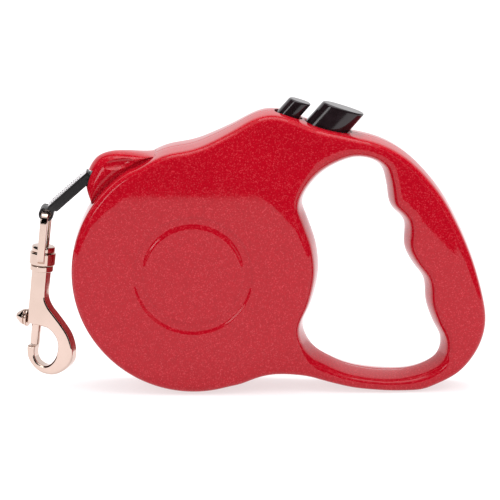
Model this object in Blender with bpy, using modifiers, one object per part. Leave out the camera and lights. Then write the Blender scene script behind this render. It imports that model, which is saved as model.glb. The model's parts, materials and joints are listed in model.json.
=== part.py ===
"""Retractable leash: a two-shell case with a spring-driven reel of flat tape, a press brake with
its lock, a moulded tape nozzle and a swivel bolt snap on the sewn tape end.

Metres, +Z up. The leash stands on its edge, with its front face towards -Y. The origin is at the
middle of the bottom of the whole leash. Everything hangs on an empty at the spool's axis, so the
coordinates below are measured from the spool's centre, in the case's middle plane (y = 0).
"""

import math

import bmesh
import bpy
from mathutils import Matrix, Vector

MM = 0.001
GAP = 0.3 * MM

# The case.
SPOOL_X = -23.3 * MM
SPOOL_Z = 49.8 * MM
DRUM_RADIUS = 50.0 * MM
DRUM_HALF = 16.0 * MM
DRUM_FILLET = 4.0 * MM
HANDLE_HALF = 12.5 * MM
HANDLE_FILLET = 4.0 * MM
WALL = 2.2 * MM
RING_INNER = 19.6 * MM
RING_OUTER = 24.2 * MM
RING_DEPTH = 0.9 * MM
DRUM_CAVITY = 47.4 * MM

# The outline of the bridge and the handle, clockwise from the drum's upper left to its bottom.
OUTER_POINTS = [
    (-24.0, 43.0), (-12.1, 49.4), (1.1, 52.3), (14.2, 58.2), (23.5, 63.3), (30.5, 65.4), (38.0, 64.4),
    (50.1, 59.8), (63.0, 56.8), (76.5, 53.2), (88.1, 46.4), (99.6, 33.9), (107.7, 20.1), (114.4, 4.4),
    (119.2, -12.8), (119.9, -23.1), (116.7, -33.2), (109.6, -42.4), (99.9, -47.8), (91.0, -50.4),
    (69.0, -49.4), (57.1, -47.1), (43.7, -43.8), (30.4, -43.1), (17.7, -47.5),
]
# The hand opening, clockwise from the middle of its top, with three finger waves on the grip side.
OPENING_POINTS = [
    (67.0, 46.2), (75.7, 43.3), (78.5, 35.5), (80.2, 26.5), (85.9, 20.0), (86.1, 9.5), (89.8, 2.0),
    (94.3, -4.3), (95.3, -14.0), (98.3, -22.4), (101.6, -29.5), (99.5, -37.3), (90.4, -42.1),
    (79.0, -43.3), (66.0, -41.6), (56.8, -38.0), (48.7, -32.5), (44.9, -23.4), (48.7, -13.2),
    (51.2, -1.1), (50.2, 10.3), (46.5, 21.4), (44.5, 28.3), (48.8, 36.3), (56.4, 42.6),
]
# The tape nozzle's outline outside the drum, from its top to its lower lip.
NOZZLE_POINTS = [
    (-20.0, 48.2), (-27.2, 48.8), (-33.6, 48.4), (-38.6, 46.5), (-41.8, 42.6), (-43.6, 37.4),
    (-43.4, 32.6), (-41.2, 28.0),
]
NOZZLE_HALF = 8.0 * MM
NOZZLE_INNER_RADIUS = 46.2 * MM
SCREW_PLACES = [(35.6, 49.2), (37.5, -38.2), (97.0, 27.5), (110.0, -26.0)]
SCREW_RADIUS = 1.4 * MM
SCREW_HEAD_RADIUS = 2.6 * MM
SCREW_SEAT_Y = 6.0 * MM
SCREW_HEAD_Y = 8.1 * MM
SCREW_TIP_Y = -7.0 * MM
SCREW_HOLE_END_Y = -8.0 * MM
SCREW_HEAD_THICK = 1.8 * MM
AXLE_SEAT_Y = 14.6 * MM
AXLE_HEAD_Y = 15.6 * MM
AXLE_TIP_Y = 5.0 * MM
AXLE_HEAD_THICK = 0.7 * MM
POST_RADIUS = 3.4 * MM
SOCKET_WALL = 2.4 * MM
SOCKET_START_Y = 10.6 * MM
SOCKET_FLOOR_Y = 13.6 * MM
OUTSIDE = 20.0 * MM

# The reel and its mainspring.
TAPE_WIDTH = 10.0 * MM
TAPE_THICK = 0.7 * MM
TAPE_SPACE_HALF = 5.4 * MM
FLANGE_THICK = 1.3 * MM
REEL_HUB = 27.0 * MM
REEL_HUB_WALL = 2.0 * MM
REEL_RADIUS = 45.0 * MM
WINDING_RADIUS = 43.4 * MM
TEETH = 30
TOOTH_DEPTH = 2.6 * MM
SPINDLE_RADIUS = 4.0 * MM
SPINDLE_END_Y = 13.3 * MM
SPRING_TURNS = 5
SPRING_STRIP = 0.5 * MM
# The direction from the reel's centre to the brake's tooth gap.
BUTTON_GAP_ANGLE = math.atan2(33.2, 31.8)

# The tape outside the reel: it runs from the winding's top to the nozzle, over its lip and down.
TAPE_MOUTH = (-43.8 * MM, 37.2 * MM)
TAPE_EXIT_ANGLE = math.radians(221.5)
SEWN_LENGTH = 17.4 * MM
SEWN_THICK = 4.0 * MM

# The buttons slide along one slanted direction, towards the reel's teeth. Each is an oval prism
# whose top slopes with the case's top edge.
BUTTON_DIRECTION = math.radians(48.5)
BUTTON_SLOPE = math.radians(-17.5)
BRAKE_TOP = (61.2 * MM, 66.4 * MM)
BRAKE_LENGTH = 17.5 * MM
BRAKE_BREADTH = 12.4 * MM
LOCK_TOP = (43.6 * MM, 69.3 * MM)
LOCK_LENGTH = 9.2 * MM
LOCK_BREADTH = 9.6 * MM
CAP_LONG = 15.0 * MM
COLLAR_DEPTH = 18.4 * MM
COLLAR_THICK = 1.4 * MM
BUTTON_SPRING_LONG = 9.0 * MM
SEAT_DEPTH = COLLAR_DEPTH + COLLAR_THICK + BUTTON_SPRING_LONG + 2 * GAP
SEAT_THICK = 1.3 * MM
STEM_HALF = 2.2 * MM
CAP_BEVEL = 0.8 * MM
OVAL_POWER = 0.8
SLOT_MIDDLE = 10.0 * MM
SLOT_LONG = 18.0 * MM
BRAKE_REACH = 43.2 * MM
LOCK_REACH = 34.0 * MM

# The snap. Its own frame has its origin at the middle of the eye's bar and its axis along -Z. It
# hangs with a slight lean, and its body is turned on the swivel.
SNAP_ORIGIN = (-59.95 * MM, 23.0 * MM)
SNAP_LEAN = math.radians(6.0)
EYE_TURN = math.radians(-2.5)
SNAP_TURN = math.radians(-20.0)
EYE_HALF_WIDTH = 8.8 * MM
EYE_TOP_CORNER = 1.9 * MM
EYE_LOW_CORNER = 4.0 * MM
EYE_WIRE = 1.35 * MM
EYE_DROP = 19.7 * MM
HUB_RADIUS = 5.35 * MM
HUB_TOP = 16.6 * MM
HUB_BOTTOM = 21.75 * MM
RIVET_TOP = 13.9 * MM
RIVET_HEAD_BOTTOM = 16.3 * MM
RIVET_HEAD_RADIUS = 4.8 * MM
RIVET_RADIUS = 2.0 * MM
RIVET_END = 23.4 * MM
FLANGE_RADIUS = 4.8 * MM
FLANGE_TOP = 22.05 * MM
FLANGE_BOTTOM = 24.4 * MM
SHANK_TOP = 23.6 * MM
SHANK_HALF = 3.4 * MM
SHANK_BOTTOM = 47.1 * MM
BORE_TOP = 27.5 * MM
BOLT_TOP = 40.1 * MM
BOLT_TIP = 55.9 * MM
KNOB_DROP = 45.2 * MM
BOLT_RADIUS = 1.95 * MM
SNAP_HALF = 2.7 * MM
SNAP_BEVEL = 0.9 * MM
# The snap body's outline below the eye: (right, down) in millimetres from the eye's bar.
SNAP_POINTS_OUTER = [
    (3.4, 31.0), (3.7, 35.4), (5.6, 38.75), (8.4, 41.45), (12.3, 45.25), (15.3, 48.75), (17.2, 52.75),
    (18.0, 56.4), (17.7, 59.75), (15.8, 62.9), (12.9, 65.4), (9.3, 66.8), (4.7, 66.6), (1.0, 64.5),
    (-1.5, 61.4), (-2.3, 58.0), (-2.2, 56.3),
]
SNAP_POINTS_INNER = [
    (1.2, 56.3), (1.0, 58.4), (1.4, 60.6), (2.9, 62.6), (5.9, 63.6), (8.7, 62.3), (10.8, 58.9),
    (11.3, 54.7), (10.3, 51.3), (8.2, 49.0), (5.8, 47.5),
]

RED = (0.62, 0.012, 0.03)
BLACK = (0.012, 0.011, 0.013)
TAPE_BLACK = (0.02, 0.02, 0.022)
ROSE_GOLD = (0.86, 0.62, 0.5)
STEEL = (0.55, 0.55, 0.57)
GREY_PLASTIC = (0.35, 0.35, 0.36)
WHITE_PLASTIC = (0.75, 0.75, 0.73)


def clear_scene():
    for old in list(bpy.data.objects):
        bpy.data.objects.remove(old, do_unlink=True)


def make_collection(name, hidden=False):
    collection = bpy.data.collections.new(name)
    bpy.context.scene.collection.children.link(collection)
    collection.hide_render = hidden
    return collection


def make_material(name, colour, roughness, metallic=0.0):
    material = bpy.data.materials.new(name)
    material.use_nodes = True
    shader = material.node_tree.nodes["Principled BSDF"]
    shader.inputs["Base Color"].default_value = (*colour, 1.0)
    shader.inputs["Roughness"].default_value = roughness
    shader.inputs["Metallic"].default_value = metallic
    return material


clear_scene()
PARTS = make_collection("retractable_leash")
CUTTERS = make_collection("cutters", hidden=True)
SPOOL = bpy.data.objects.new("spool_axis", None)
SPOOL.location = (SPOOL_X, 0, SPOOL_Z)
PARTS.objects.link(SPOOL)


def snap_frame(name, turn):
    """An empty at the eye's bar, leaning with the snap and turned about the snap's own axis."""
    frame = bpy.data.objects.new(name, None)
    frame.parent = SPOOL
    frame.location = (SNAP_ORIGIN[0], 0, SNAP_ORIGIN[1])
    frame.rotation_mode = "ZYX"
    frame.rotation_euler = (0, SNAP_LEAN, turn)
    PARTS.objects.link(frame)
    return frame


EYE = snap_frame("eye_bar_axis", EYE_TURN)
SNAP = snap_frame("swivel_axis", SNAP_TURN)


def finished(mesh):
    """Welds a mesh, turns its faces outwards and shades its round stretches smooth."""
    work = bmesh.new()
    work.from_mesh(mesh)
    bmesh.ops.remove_doubles(work, verts=work.verts, dist=1e-6)
    bmesh.ops.dissolve_degenerate(work, dist=1e-7, edges=work.edges)
    bmesh.ops.recalc_face_normals(work, faces=work.faces)
    work.to_mesh(mesh)
    work.free()
    mesh.shade_smooth()
    mesh.set_sharp_from_angle(angle=math.radians(35))
    return mesh


def place(obj, parent=SPOOL, cutter=False):
    (CUTTERS if cutter else PARTS).objects.link(obj)
    obj.parent = parent
    if cutter:
        obj.hide_render = True
        obj.display_type = "WIRE"
    return obj


def mesh_object(name, mesh, parent=SPOOL, cutter=False):
    return place(bpy.data.objects.new(name, finished(mesh)), parent, cutter)


def baked(obj):
    """Replaces a curve or a modified object with the plain mesh that it makes."""
    bpy.context.view_layer.update()
    evaluated = obj.evaluated_get(bpy.context.evaluated_depsgraph_get())
    mesh = finished(bpy.data.meshes.new_from_object(evaluated))
    solid = bpy.data.objects.new(obj.name + "_solid", mesh)
    for collection in obj.users_collection:
        collection.objects.link(solid)
    solid.parent = obj.parent
    solid.matrix_basis = obj.matrix_basis.copy()
    solid.hide_render = obj.hide_render
    solid.display_type = obj.display_type
    name = obj.name
    bpy.data.objects.remove(obj, do_unlink=True)
    solid.name = name
    return solid


def through_points(points, steps=4, closed=False):
    """A smooth line through the points: a Catmull-Rom spline with equal steps."""
    count = len(points)
    result = []
    for i in range(count if closed else count - 1):
        if closed:
            a, b, c, d = (Vector(points[(i + k) % count]) for k in (-1, 0, 1, 2))
        else:
            picks = (max(i - 1, 0), i, i + 1, min(i + 2, count - 1))
            a, b, c, d = (Vector(points[k]) for k in picks)
        for step in range(steps):
            t = step / steps
            bend = 2 * a - 5 * b + 4 * c - d
            twist = 3 * b - a - 3 * c + d
            result.append(0.5 * (2 * b + (c - a) * t + bend * t**2 + twist * t**3))
    if not closed:
        result.append(Vector(points[-1]))
    return [(p[0], p[1]) for p in result]


def in_mm(points):
    return [(x * MM, z * MM) for x, z in points]


def arc(radius, start, end, steps, centre=(0.0, 0.0)):
    """Points on a circle in the x-z plane, between two angles in degrees."""
    result = []
    for step in range(steps + 1):
        angle = math.radians(start + (end - start) * step / steps)
        result.append((centre[0] + radius * math.cos(angle), centre[1] + radius * math.sin(angle)))
    return result


def inset(loop, distance):
    """A closed loop moved inwards by a distance, seen as a clockwise or an anticlockwise loop alike."""
    count = len(loop)
    area = sum(loop[i - 1][0] * loop[i][1] - loop[i][0] * loop[i - 1][1] for i in range(count))
    side = 1.0 if area > 0 else -1.0
    moved = []
    for i in range(count):
        before, here, after = Vector(loop[i - 1]), Vector(loop[i]), Vector(loop[(i + 1) % count])
        tangent = (after - before).normalized()
        moved.append((here.x - side * tangent.y * distance, here.y + side * tangent.x * distance))
    return moved


def plate(name, loops, low, high, bevel=0.0, bevel_steps=2, parent=SPOOL, cutter=False):
    """Flat outlines in the x-z plane, filled and extruded from y = low to y = high, with round edges."""
    curve = bpy.data.curves.new(name, "CURVE")
    curve.dimensions = "2D"
    curve.fill_mode = "BOTH"
    curve.extrude = (high - low) / 2 - bevel
    curve.bevel_depth = bevel
    curve.bevel_resolution = bevel_steps
    curve.offset = -bevel
    for loop in loops:
        spline = curve.splines.new("POLY")
        spline.points.add(len(loop) - 1)
        spline.use_cyclic_u = True
        for point, (x, z) in zip(spline.points, loop):
            point.co = (x, z, 0, 1)
    obj = bpy.data.objects.new(name, curve)
    obj.rotation_euler = (math.pi / 2, 0, 0)
    obj.location = (0, (low + high) / 2, 0)
    return baked(place(obj, parent, cutter))


def turned(name, profile, parent=SPOOL, cutter=False, steps=48, matrix=None):
    """A closed profile of (radius, height) turned about the y axis, or about a matrix's z axis."""
    mesh = bpy.data.meshes.new(name)
    count = len(profile)
    edges = [(i, (i + 1) % count) for i in range(count)]
    edges = [(a, b) for a, b in edges if profile[a][0] > 0 or profile[b][0] > 0]
    mesh.from_pydata([(r, 0, h) for r, h in profile], edges, [])
    obj = bpy.data.objects.new(name, mesh)
    screw = obj.modifiers.new("turn", "SCREW")
    screw.steps = screw.render_steps = steps
    screw.use_merge_vertices = True
    screw.merge_threshold = 1e-6
    obj.matrix_basis = matrix or Matrix.Rotation(-math.pi / 2, 4, "X")
    return baked(place(obj, parent, cutter))


def along(start, end):
    """The matrix that puts a local z axis from one point to another, centred between them."""
    start, end = Vector(start), Vector(end)
    turn = (end - start).to_track_quat("Z", "Y").to_matrix().to_4x4()
    return Matrix.Translation((start + end) / 2) @ turn


def rod(name, start, end, radius, parent=SPOOL, cutter=False, sides=20, end_radius=None):
    mesh = bpy.data.meshes.new(name)
    work = bmesh.new()
    bmesh.ops.create_cone(
        work,
        cap_ends=True,
        segments=sides,
        radius1=radius,
        radius2=radius if end_radius is None else end_radius,
        depth=(Vector(end) - Vector(start)).length,
        matrix=along(start, end),
    )
    work.to_mesh(mesh)
    work.free()
    return mesh_object(name, mesh, parent, cutter)


def block(name, size, matrix, bevel=0.0, parent=SPOOL, cutter=False):
    mesh = bpy.data.meshes.new(name)
    work = bmesh.new()
    bmesh.ops.create_cube(work, size=1.0, matrix=matrix @ Matrix.Diagonal((*size, 1.0)))
    if bevel:
        bmesh.ops.bevel(work, geom=work.edges, offset=bevel, segments=2, profile=0.5, affect="EDGES")
    work.to_mesh(mesh)
    work.free()
    return mesh_object(name, mesh, parent, cutter)


def wire(name, points, radius, parent=SPOOL, closed=False, resolution=2):
    curve = bpy.data.curves.new(name, "CURVE")
    curve.dimensions = "3D"
    curve.bevel_depth = radius
    curve.bevel_resolution = resolution
    curve.use_fill_caps = True
    spline = curve.splines.new("POLY")
    spline.points.add(len(points) - 1)
    spline.use_cyclic_u = closed
    for point, place_at in zip(spline.points, points):
        point.co = (*place_at, 1)
    return baked(place(bpy.data.objects.new(name, curve), parent))


def coil(name, start, end, radius, wire_radius, turns, parent=SPOOL, steps=12):
    """A compression spring between two points."""
    frame = along(start, end)
    length = (Vector(end) - Vector(start)).length - 2 * wire_radius
    points = []
    for i in range(turns * steps + 1):
        angle = 2 * math.pi * i / steps
        height = length * (i / (turns * steps) - 0.5)
        points.append(frame @ Vector((radius * math.cos(angle), radius * math.sin(angle), height)))
    return wire(name, points, wire_radius, parent)


def boolean(obj, operation, others):
    for other in others:
        modifier = obj.modifiers.new(operation.lower(), "BOOLEAN")
        modifier.operation = operation
        modifier.solver = "EXACT"
        modifier.object = other
    return obj


def cut(obj, *others):
    return boolean(obj, "DIFFERENCE", others)


def join(obj, *others):
    return boolean(obj, "UNION", others)


def with_material(obj, material):
    obj.data.materials.clear()
    obj.data.materials.append(material)
    return obj


def button_place(top, depth, side=0.0):
    """A point in the middle plane at a depth below a button's top, along its slanted travel."""
    x = top[0] - depth * math.cos(BUTTON_DIRECTION) + side * math.sin(BUTTON_DIRECTION)
    z = top[1] - depth * math.sin(BUTTON_DIRECTION) - side * math.cos(BUTTON_DIRECTION)
    return Vector((x, 0, z))


def button_matrix(top, depth):
    """A frame whose z axis is the buttons' outward travel, at a depth below a button's top."""
    turn = Matrix.Rotation(math.pi / 2 - BUTTON_DIRECTION, 4, "Y")
    return Matrix.Translation(button_place(top, depth)) @ turn


def slanted_matrix(top, depth):
    """A sheared frame: its x axis follows the case's slope and its z axis the buttons' travel."""
    slope = Vector((math.cos(BUTTON_SLOPE), 0, math.sin(BUTTON_SLOPE)))
    travel = Vector((math.cos(BUTTON_DIRECTION), 0, math.sin(BUTTON_DIRECTION)))
    turn = Matrix((slope, (0, 1, 0), travel)).transposed().to_4x4()
    return Matrix.Translation(button_place(top, depth)) @ turn


def oval_prism(name, top, depth, size, bevel=0.0, cutter=False, sides=28):
    """A prism of (length, breadth, height) with a superellipse section, sheared along the travel."""
    length, breadth, height = size
    mesh = bpy.data.meshes.new(name)
    work = bmesh.new()
    bmesh.ops.create_cone(work, cap_ends=True, segments=sides, radius1=1, radius2=1, depth=1)
    for vert in work.verts:
        angle = math.atan2(vert.co.y, vert.co.x)
        round_x, round_y = math.cos(angle), math.sin(angle)
        vert.co.x = math.copysign(abs(round_x) ** OVAL_POWER, round_x) * length / 2
        vert.co.y = math.copysign(abs(round_y) ** OVAL_POWER, round_y) * breadth / 2
        vert.co.z *= height
    if bevel:
        rims = [edge for edge in work.edges if abs(edge.verts[0].co.z - edge.verts[1].co.z) < 1e-9]
        rims = [edge for edge in rims if edge.verts[0].co.z > 0]
        bmesh.ops.bevel(work, geom=rims, offset=bevel, segments=2, profile=0.5, affect="EDGES")
    bmesh.ops.transform(work, matrix=slanted_matrix(top, depth), verts=work.verts)
    work.to_mesh(mesh)
    work.free()
    return mesh_object(name, mesh, cutter=cutter)


def case_outline():
    """The whole outline: the bridge and the handle, then the drum's arc back to the start."""
    curved = through_points(OUTER_POINTS, 3)
    below = math.degrees(math.atan2(OUTER_POINTS[-1][1], OUTER_POINTS[-1][0]))
    above = math.degrees(math.atan2(OUTER_POINTS[0][1], OUTER_POINTS[0][0])) - 360
    drum = arc((DRUM_RADIUS - 0.6 * MM) / MM, below, above, 24)
    return in_mm(curved + drum[1:-1])


def opening_outline(steps=2):
    return in_mm(through_points(OPENING_POINTS, steps, closed=True))


def nozzle_outline(grow=0.0):
    """The nozzle's side view: its outer contour, closed by an arc just inside the drum's wall."""
    outer = through_points(NOZZLE_POINTS, 3)
    start = math.degrees(math.atan2(outer[-1][1], outer[-1][0]))
    end = math.degrees(math.atan2(outer[0][1], outer[0][0]))
    inner = arc(NOZZLE_INNER_RADIUS / MM, start, end, 8)
    return inset(in_mm(outer + inner), -grow)


def drum_profile(half, radius, fillet, groove):
    """The drum's profile from its front to its back; both faces have the ring groove if asked."""
    lip = 0.5 * MM
    profile = []
    for side in (-1, 1):
        rim = [
            (radius - fillet + r, side * (half - fillet + h))
            for r, h in arc(fillet, 90, 0, 3)
        ]
        face = [(0.0, side * half)]
        if groove:
            face += [
                (RING_INNER, side * half),
                (RING_INNER + lip, side * (half - RING_DEPTH)),
                (RING_OUTER - lip, side * (half - RING_DEPTH)),
                (RING_OUTER, side * half),
            ]
        profile += (face + rim) if side < 0 else list(reversed(face + rim))
    return profile


def shell(name, side):
    """One half of the case; side is -1 for the front and 1 for the rear."""
    outlines = [case_outline(), opening_outline()]
    outer = plate(name, outlines, -HANDLE_HALF, HANDLE_HALF, HANDLE_FILLET, 1)
    drum_shape = drum_profile(DRUM_HALF, DRUM_RADIUS, DRUM_FILLET, True)
    drum = turned(name + "_drum", drum_shape, cutter=True, steps=56)
    inner_half = HANDLE_HALF - WALL
    handle_cavity = plate(
        name + "_handle_cavity",
        [inset(case_outline(), WALL + 0.4 * MM), inset(opening_outline(), -WALL)],
        -inner_half,
        inner_half,
        cutter=True,
    )
    cavity_shape = drum_profile(DRUM_HALF - WALL, DRUM_CAVITY, 2 * MM, False)
    drum_cavity = turned(name + "_drum_cavity", cavity_shape, cutter=True, steps=40)
    far = 0.4
    other_half = block(
        name + "_other_half",
        (far, far, far),
        Matrix.Translation((0, -side * (far - GAP) / 2, 0)),
        cutter=True,
    )
    posts, holes = [], []
    for index, (x, z) in enumerate(SCREW_PLACES):
        label = f"{name}_post_{index + 1}"
        x, z = x * MM, z * MM
        wall_y = side * (HANDLE_HALF - WALL / 2)
        posts.append(rod(label, (x, wall_y, z), (x, side * 0.05 * MM, z), POST_RADIUS, cutter=True))
        hole = SCREW_RADIUS + GAP
        hole_y = (-MM, OUTSIDE) if side > 0 else (MM, SCREW_HOLE_END_Y)
        holes.append(
            rod(label + "_hole", (x, hole_y[0], z), (x, hole_y[1], z), hole, cutter=True)
        )
        if side > 0:
            head = SCREW_HEAD_RADIUS + GAP
            holes.append(
                rod(label + "_head", (x, SCREW_SEAT_Y, z), (x, OUTSIDE, z), head, cutter=True)
            )
    socket = rod(
        name + "_spindle_socket",
        (0, side * (DRUM_HALF - WALL / 2), 0),
        (0, side * SOCKET_START_Y, 0),
        SPINDLE_RADIUS + SOCKET_WALL,
        cutter=True,
        sides=32,
    )
    socket_hole = rod(
        name + "_socket_hole",
        (0, side * SOCKET_FLOOR_Y, 0),
        (0, 0, 0),
        SPINDLE_RADIUS + GAP,
        cutter=True,
        sides=32,
    )
    window_half = NOZZLE_HALF + GAP
    window = plate(
        name + "_nozzle_window", [nozzle_outline(GAP)], -window_half, window_half, cutter=True
    )
    slots = [
        oval_prism(
            f"{name}_{label}_slot",
            top,
            SLOT_MIDDLE,
            (length + 2 * GAP, breadth + 2 * GAP, SLOT_LONG),
            cutter=True,
        )
        for label, top, length, breadth in (
            ("brake", BRAKE_TOP, BRAKE_LENGTH, BRAKE_BREADTH),
            ("lock", LOCK_TOP, LOCK_LENGTH, LOCK_BREADTH),
        )
    ]
    ground = block(
        name + "_ground", (far, far, 0.1), Matrix.Translation((0, 0, -SPOOL_Z - 0.05)), cutter=True
    )
    seat_long = HANDLE_HALF - WALL / 2 - STEM_HALF - GAP
    seats = [
        block(
            f"{name}_{label}_spring_seat",
            (8.0 * MM, seat_long, SEAT_THICK),
            Matrix.Translation((0, side * (STEM_HALF + GAP + seat_long / 2), 0))
            @ button_matrix(top, SEAT_DEPTH + SEAT_THICK / 2),
            cutter=True,
        )
        for label, top in (("brake", BRAKE_TOP), ("lock", LOCK_TOP))
    ]
    join(outer, drum)
    cut(outer, handle_cavity, drum_cavity)
    join(outer, *posts, *seats, socket)
    cut(outer, other_half, *holes, socket_hole, window, ground, *slots)
    if side > 0:
        for label, start, radius in (
            ("hole", 9 * MM, SCREW_RADIUS),
            ("head", AXLE_SEAT_Y, SCREW_HEAD_RADIUS),
        ):
            opening = rod(
                f"{name}_axle_{label}", (0, start, 0), (0, OUTSIDE, 0), radius + GAP, cutter=True
            )
            cut(outer, opening)
    return outer


def screw(name, x, z, head_y, tip_y, head_thick):
    """A pan-head screw pointing towards -Y, with a cross recess cut in its head."""
    profile = [
        (0.0, head_y),
        (0.7 * SCREW_HEAD_RADIUS, head_y),
        (SCREW_HEAD_RADIUS, head_y - 0.4 * head_thick),
        (SCREW_HEAD_RADIUS, head_y - head_thick),
        (SCREW_RADIUS, head_y - head_thick),
        (SCREW_RADIUS, tip_y + 1.2 * MM),
        (0.0, tip_y),
    ]
    made = turned(name, profile, steps=12)
    made.location = (x, 0, z)
    arms = [
        block(
            f"{name}_recess_{turn}",
            (2.6 * MM, 1.0 * MM, 0.6 * MM),
            Matrix.Translation((x, head_y, z)) @ Matrix.Rotation(math.radians(turn), 4, "Y"),
            cutter=True,
        )
        for turn in (0, 90)
    ]
    return cut(made, *arms)


def case():
    red = make_material("red_gloss_plastic", RED, 0.22)
    steel = make_material("zinc_steel", STEEL, 0.35, 1.0)
    for name, side in (("front_shell", -1), ("rear_shell", 1)):
        with_material(shell(name, side), red)
    for index, (x, z) in enumerate(SCREW_PLACES):
        name = f"case_screw_{index + 1}"
        made = screw(name, x * MM, z * MM, SCREW_HEAD_Y, SCREW_TIP_Y, SCREW_HEAD_THICK)
        with_material(made, steel)
    axle = screw("axle_screw", 0, 0, AXLE_HEAD_Y, AXLE_TIP_Y, AXLE_HEAD_THICK)
    with_material(axle, steel)
    nozzle = plate("tape_nozzle", [nozzle_outline()], -NOZZLE_HALF, NOZZLE_HALF, 3.2 * MM, 3)
    slot_half = TAPE_WIDTH / 2 + 0.4 * MM
    channel = plate(
        "tape_nozzle_channel", [tape_channel_outline()], -slot_half, slot_half, cutter=True
    )
    with_material(cut(nozzle, channel), red)


def tape_tangent():
    """Where the tape leaves the top of the winding on its way to the nozzle."""
    mouth = Vector(TAPE_MOUTH)
    angle = math.atan2(mouth.y, mouth.x) - math.acos(WINDING_RADIUS / mouth.length)
    return Vector((math.cos(angle), math.sin(angle))) * (WINDING_RADIUS + TAPE_THICK)


def tape_channel_outline():
    """The slot through the nozzle: level inside, and flared down at the lip."""
    ceiling = [(-16.0, 43.9), (-46.5, 40.6)]
    floor = [(-48.0, 32.4), (-41.6, 35.4), (-36.0, 37.6), (-16.0, 40.6)]
    return in_mm(ceiling + floor)


def strip_outline(points, thick):
    """A line given a thickness: both sides of a flat strip seen edge on."""
    left, right = [], []
    for i, here in enumerate(points):
        before = Vector(points[max(i - 1, 0)])
        after = Vector(points[min(i + 1, len(points) - 1)])
        tangent = (after - before).normalized()
        normal = Vector((-tangent.y, tangent.x)) * thick / 2
        left.append((here[0] + normal.x, here[1] + normal.y))
        right.append((here[0] - normal.x, here[1] - normal.y))
    return left + right[::-1]


def reel():
    white = make_material("reel_plastic", WHITE_PLASTIC, 0.5)
    dark = make_material("spring_steel", STEEL, 0.3, 1.0)
    steel = make_material("screw_steel", STEEL, 0.35, 1.0)
    tape = make_material("tape_black", TAPE_BLACK, 0.8)
    inner = REEL_HUB - REEL_HUB_WALL
    low, high = -TAPE_SPACE_HALF, TAPE_SPACE_HALF
    bearing = SPINDLE_RADIUS + 0.05 * MM
    drum = [
        (REEL_HUB, low),
        (inner, low),
        (inner, high - 1.2 * MM),
        (bearing + 2 * MM, high - 1.2 * MM),
        (bearing, high - 1.2 * MM),
        (bearing, high + FLANGE_THICK + 1.2 * MM),
        (bearing + 2 * MM, high + FLANGE_THICK + 1.2 * MM),
        (bearing + 2 * MM, high + FLANGE_THICK),
        (REEL_RADIUS, high + FLANGE_THICK),
        (REEL_RADIUS, high),
        (REEL_HUB, high),
    ]
    with_material(turned("reel_drum", drum, steps=40), white)
    teeth = []
    gap_angle = math.degrees(BUTTON_GAP_ANGLE)
    pitch = 360 / TEETH
    root = REEL_RADIUS - TOOTH_DEPTH
    for i in range(TEETH):
        at = gap_angle + i * pitch
        for turn, radius in ((-0.27, root), (0.27, root), (0.36, REEL_RADIUS), (0.64, REEL_RADIUS)):
            angle = math.radians(at + turn * pitch)
            teeth.append((radius * math.cos(angle), radius * math.sin(angle)))
    hole = arc(REEL_HUB - 0.6 * MM, 0, 360, 32)[:-1]
    toothed = plate("toothed_flange", [teeth, hole], low - GAP - FLANGE_THICK, low - GAP)
    with_material(toothed, white)
    cover_low = low + 0.4 * MM
    cover = [
        (inner - GAP, cover_low + 1.2 * MM),
        (inner - GAP, cover_low),
        (bearing, cover_low),
        (bearing, cover_low + 1.2 * MM),
    ]
    with_material(turned("spring_cover", cover, steps=32), white)
    tape_in = TAPE_WIDTH / 2
    winding = [
        (WINDING_RADIUS, tape_in),
        (WINDING_RADIUS, -tape_in),
        (REEL_HUB + GAP, -tape_in),
        (REEL_HUB + GAP, tape_in),
    ]
    with_material(turned("tape_winding", winding, steps=40), tape)
    spiral = []
    steps = 20
    inner_coil, outer_coil = SPINDLE_RADIUS + 3.6 * MM, inner - 0.9 * MM
    for i in range(SPRING_TURNS * steps + 1):
        part = i / (SPRING_TURNS * steps)
        angle = 2 * math.pi * i / steps
        radius = inner_coil + (outer_coil - inner_coil) * part**0.8
        spiral.append((radius * math.cos(angle), radius * math.sin(angle)))
    strip = strip_outline(spiral, SPRING_STRIP)
    spring = plate("mainspring", [strip], cover_low + 1.6 * MM, 3.8 * MM)
    with_material(spring, dark)
    spindle = [
        (SPINDLE_RADIUS, SPINDLE_END_Y),
        (SPINDLE_RADIUS, -SPINDLE_END_Y),
        (0.0, -SPINDLE_END_Y),
        (0.0, 4.6 * MM),
        (SCREW_RADIUS + GAP, 4.6 * MM),
        (SCREW_RADIUS + GAP, SPINDLE_END_Y),
    ]
    with_material(turned("spindle", spindle, steps=20), steel)
    for name, middle in (("front_washer", -8.9 * MM), ("rear_washer", 9.2 * MM)):
        washer = [
            (SPINDLE_RADIUS + 3 * MM, middle + 0.5 * MM),
            (SPINDLE_RADIUS + 3 * MM, middle - 0.5 * MM),
            (SPINDLE_RADIUS + 0.3 * MM, middle - 0.5 * MM),
            (SPINDLE_RADIUS + 0.3 * MM, middle + 0.5 * MM),
        ]
        with_material(turned(name, washer, steps=20), steel)


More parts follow.
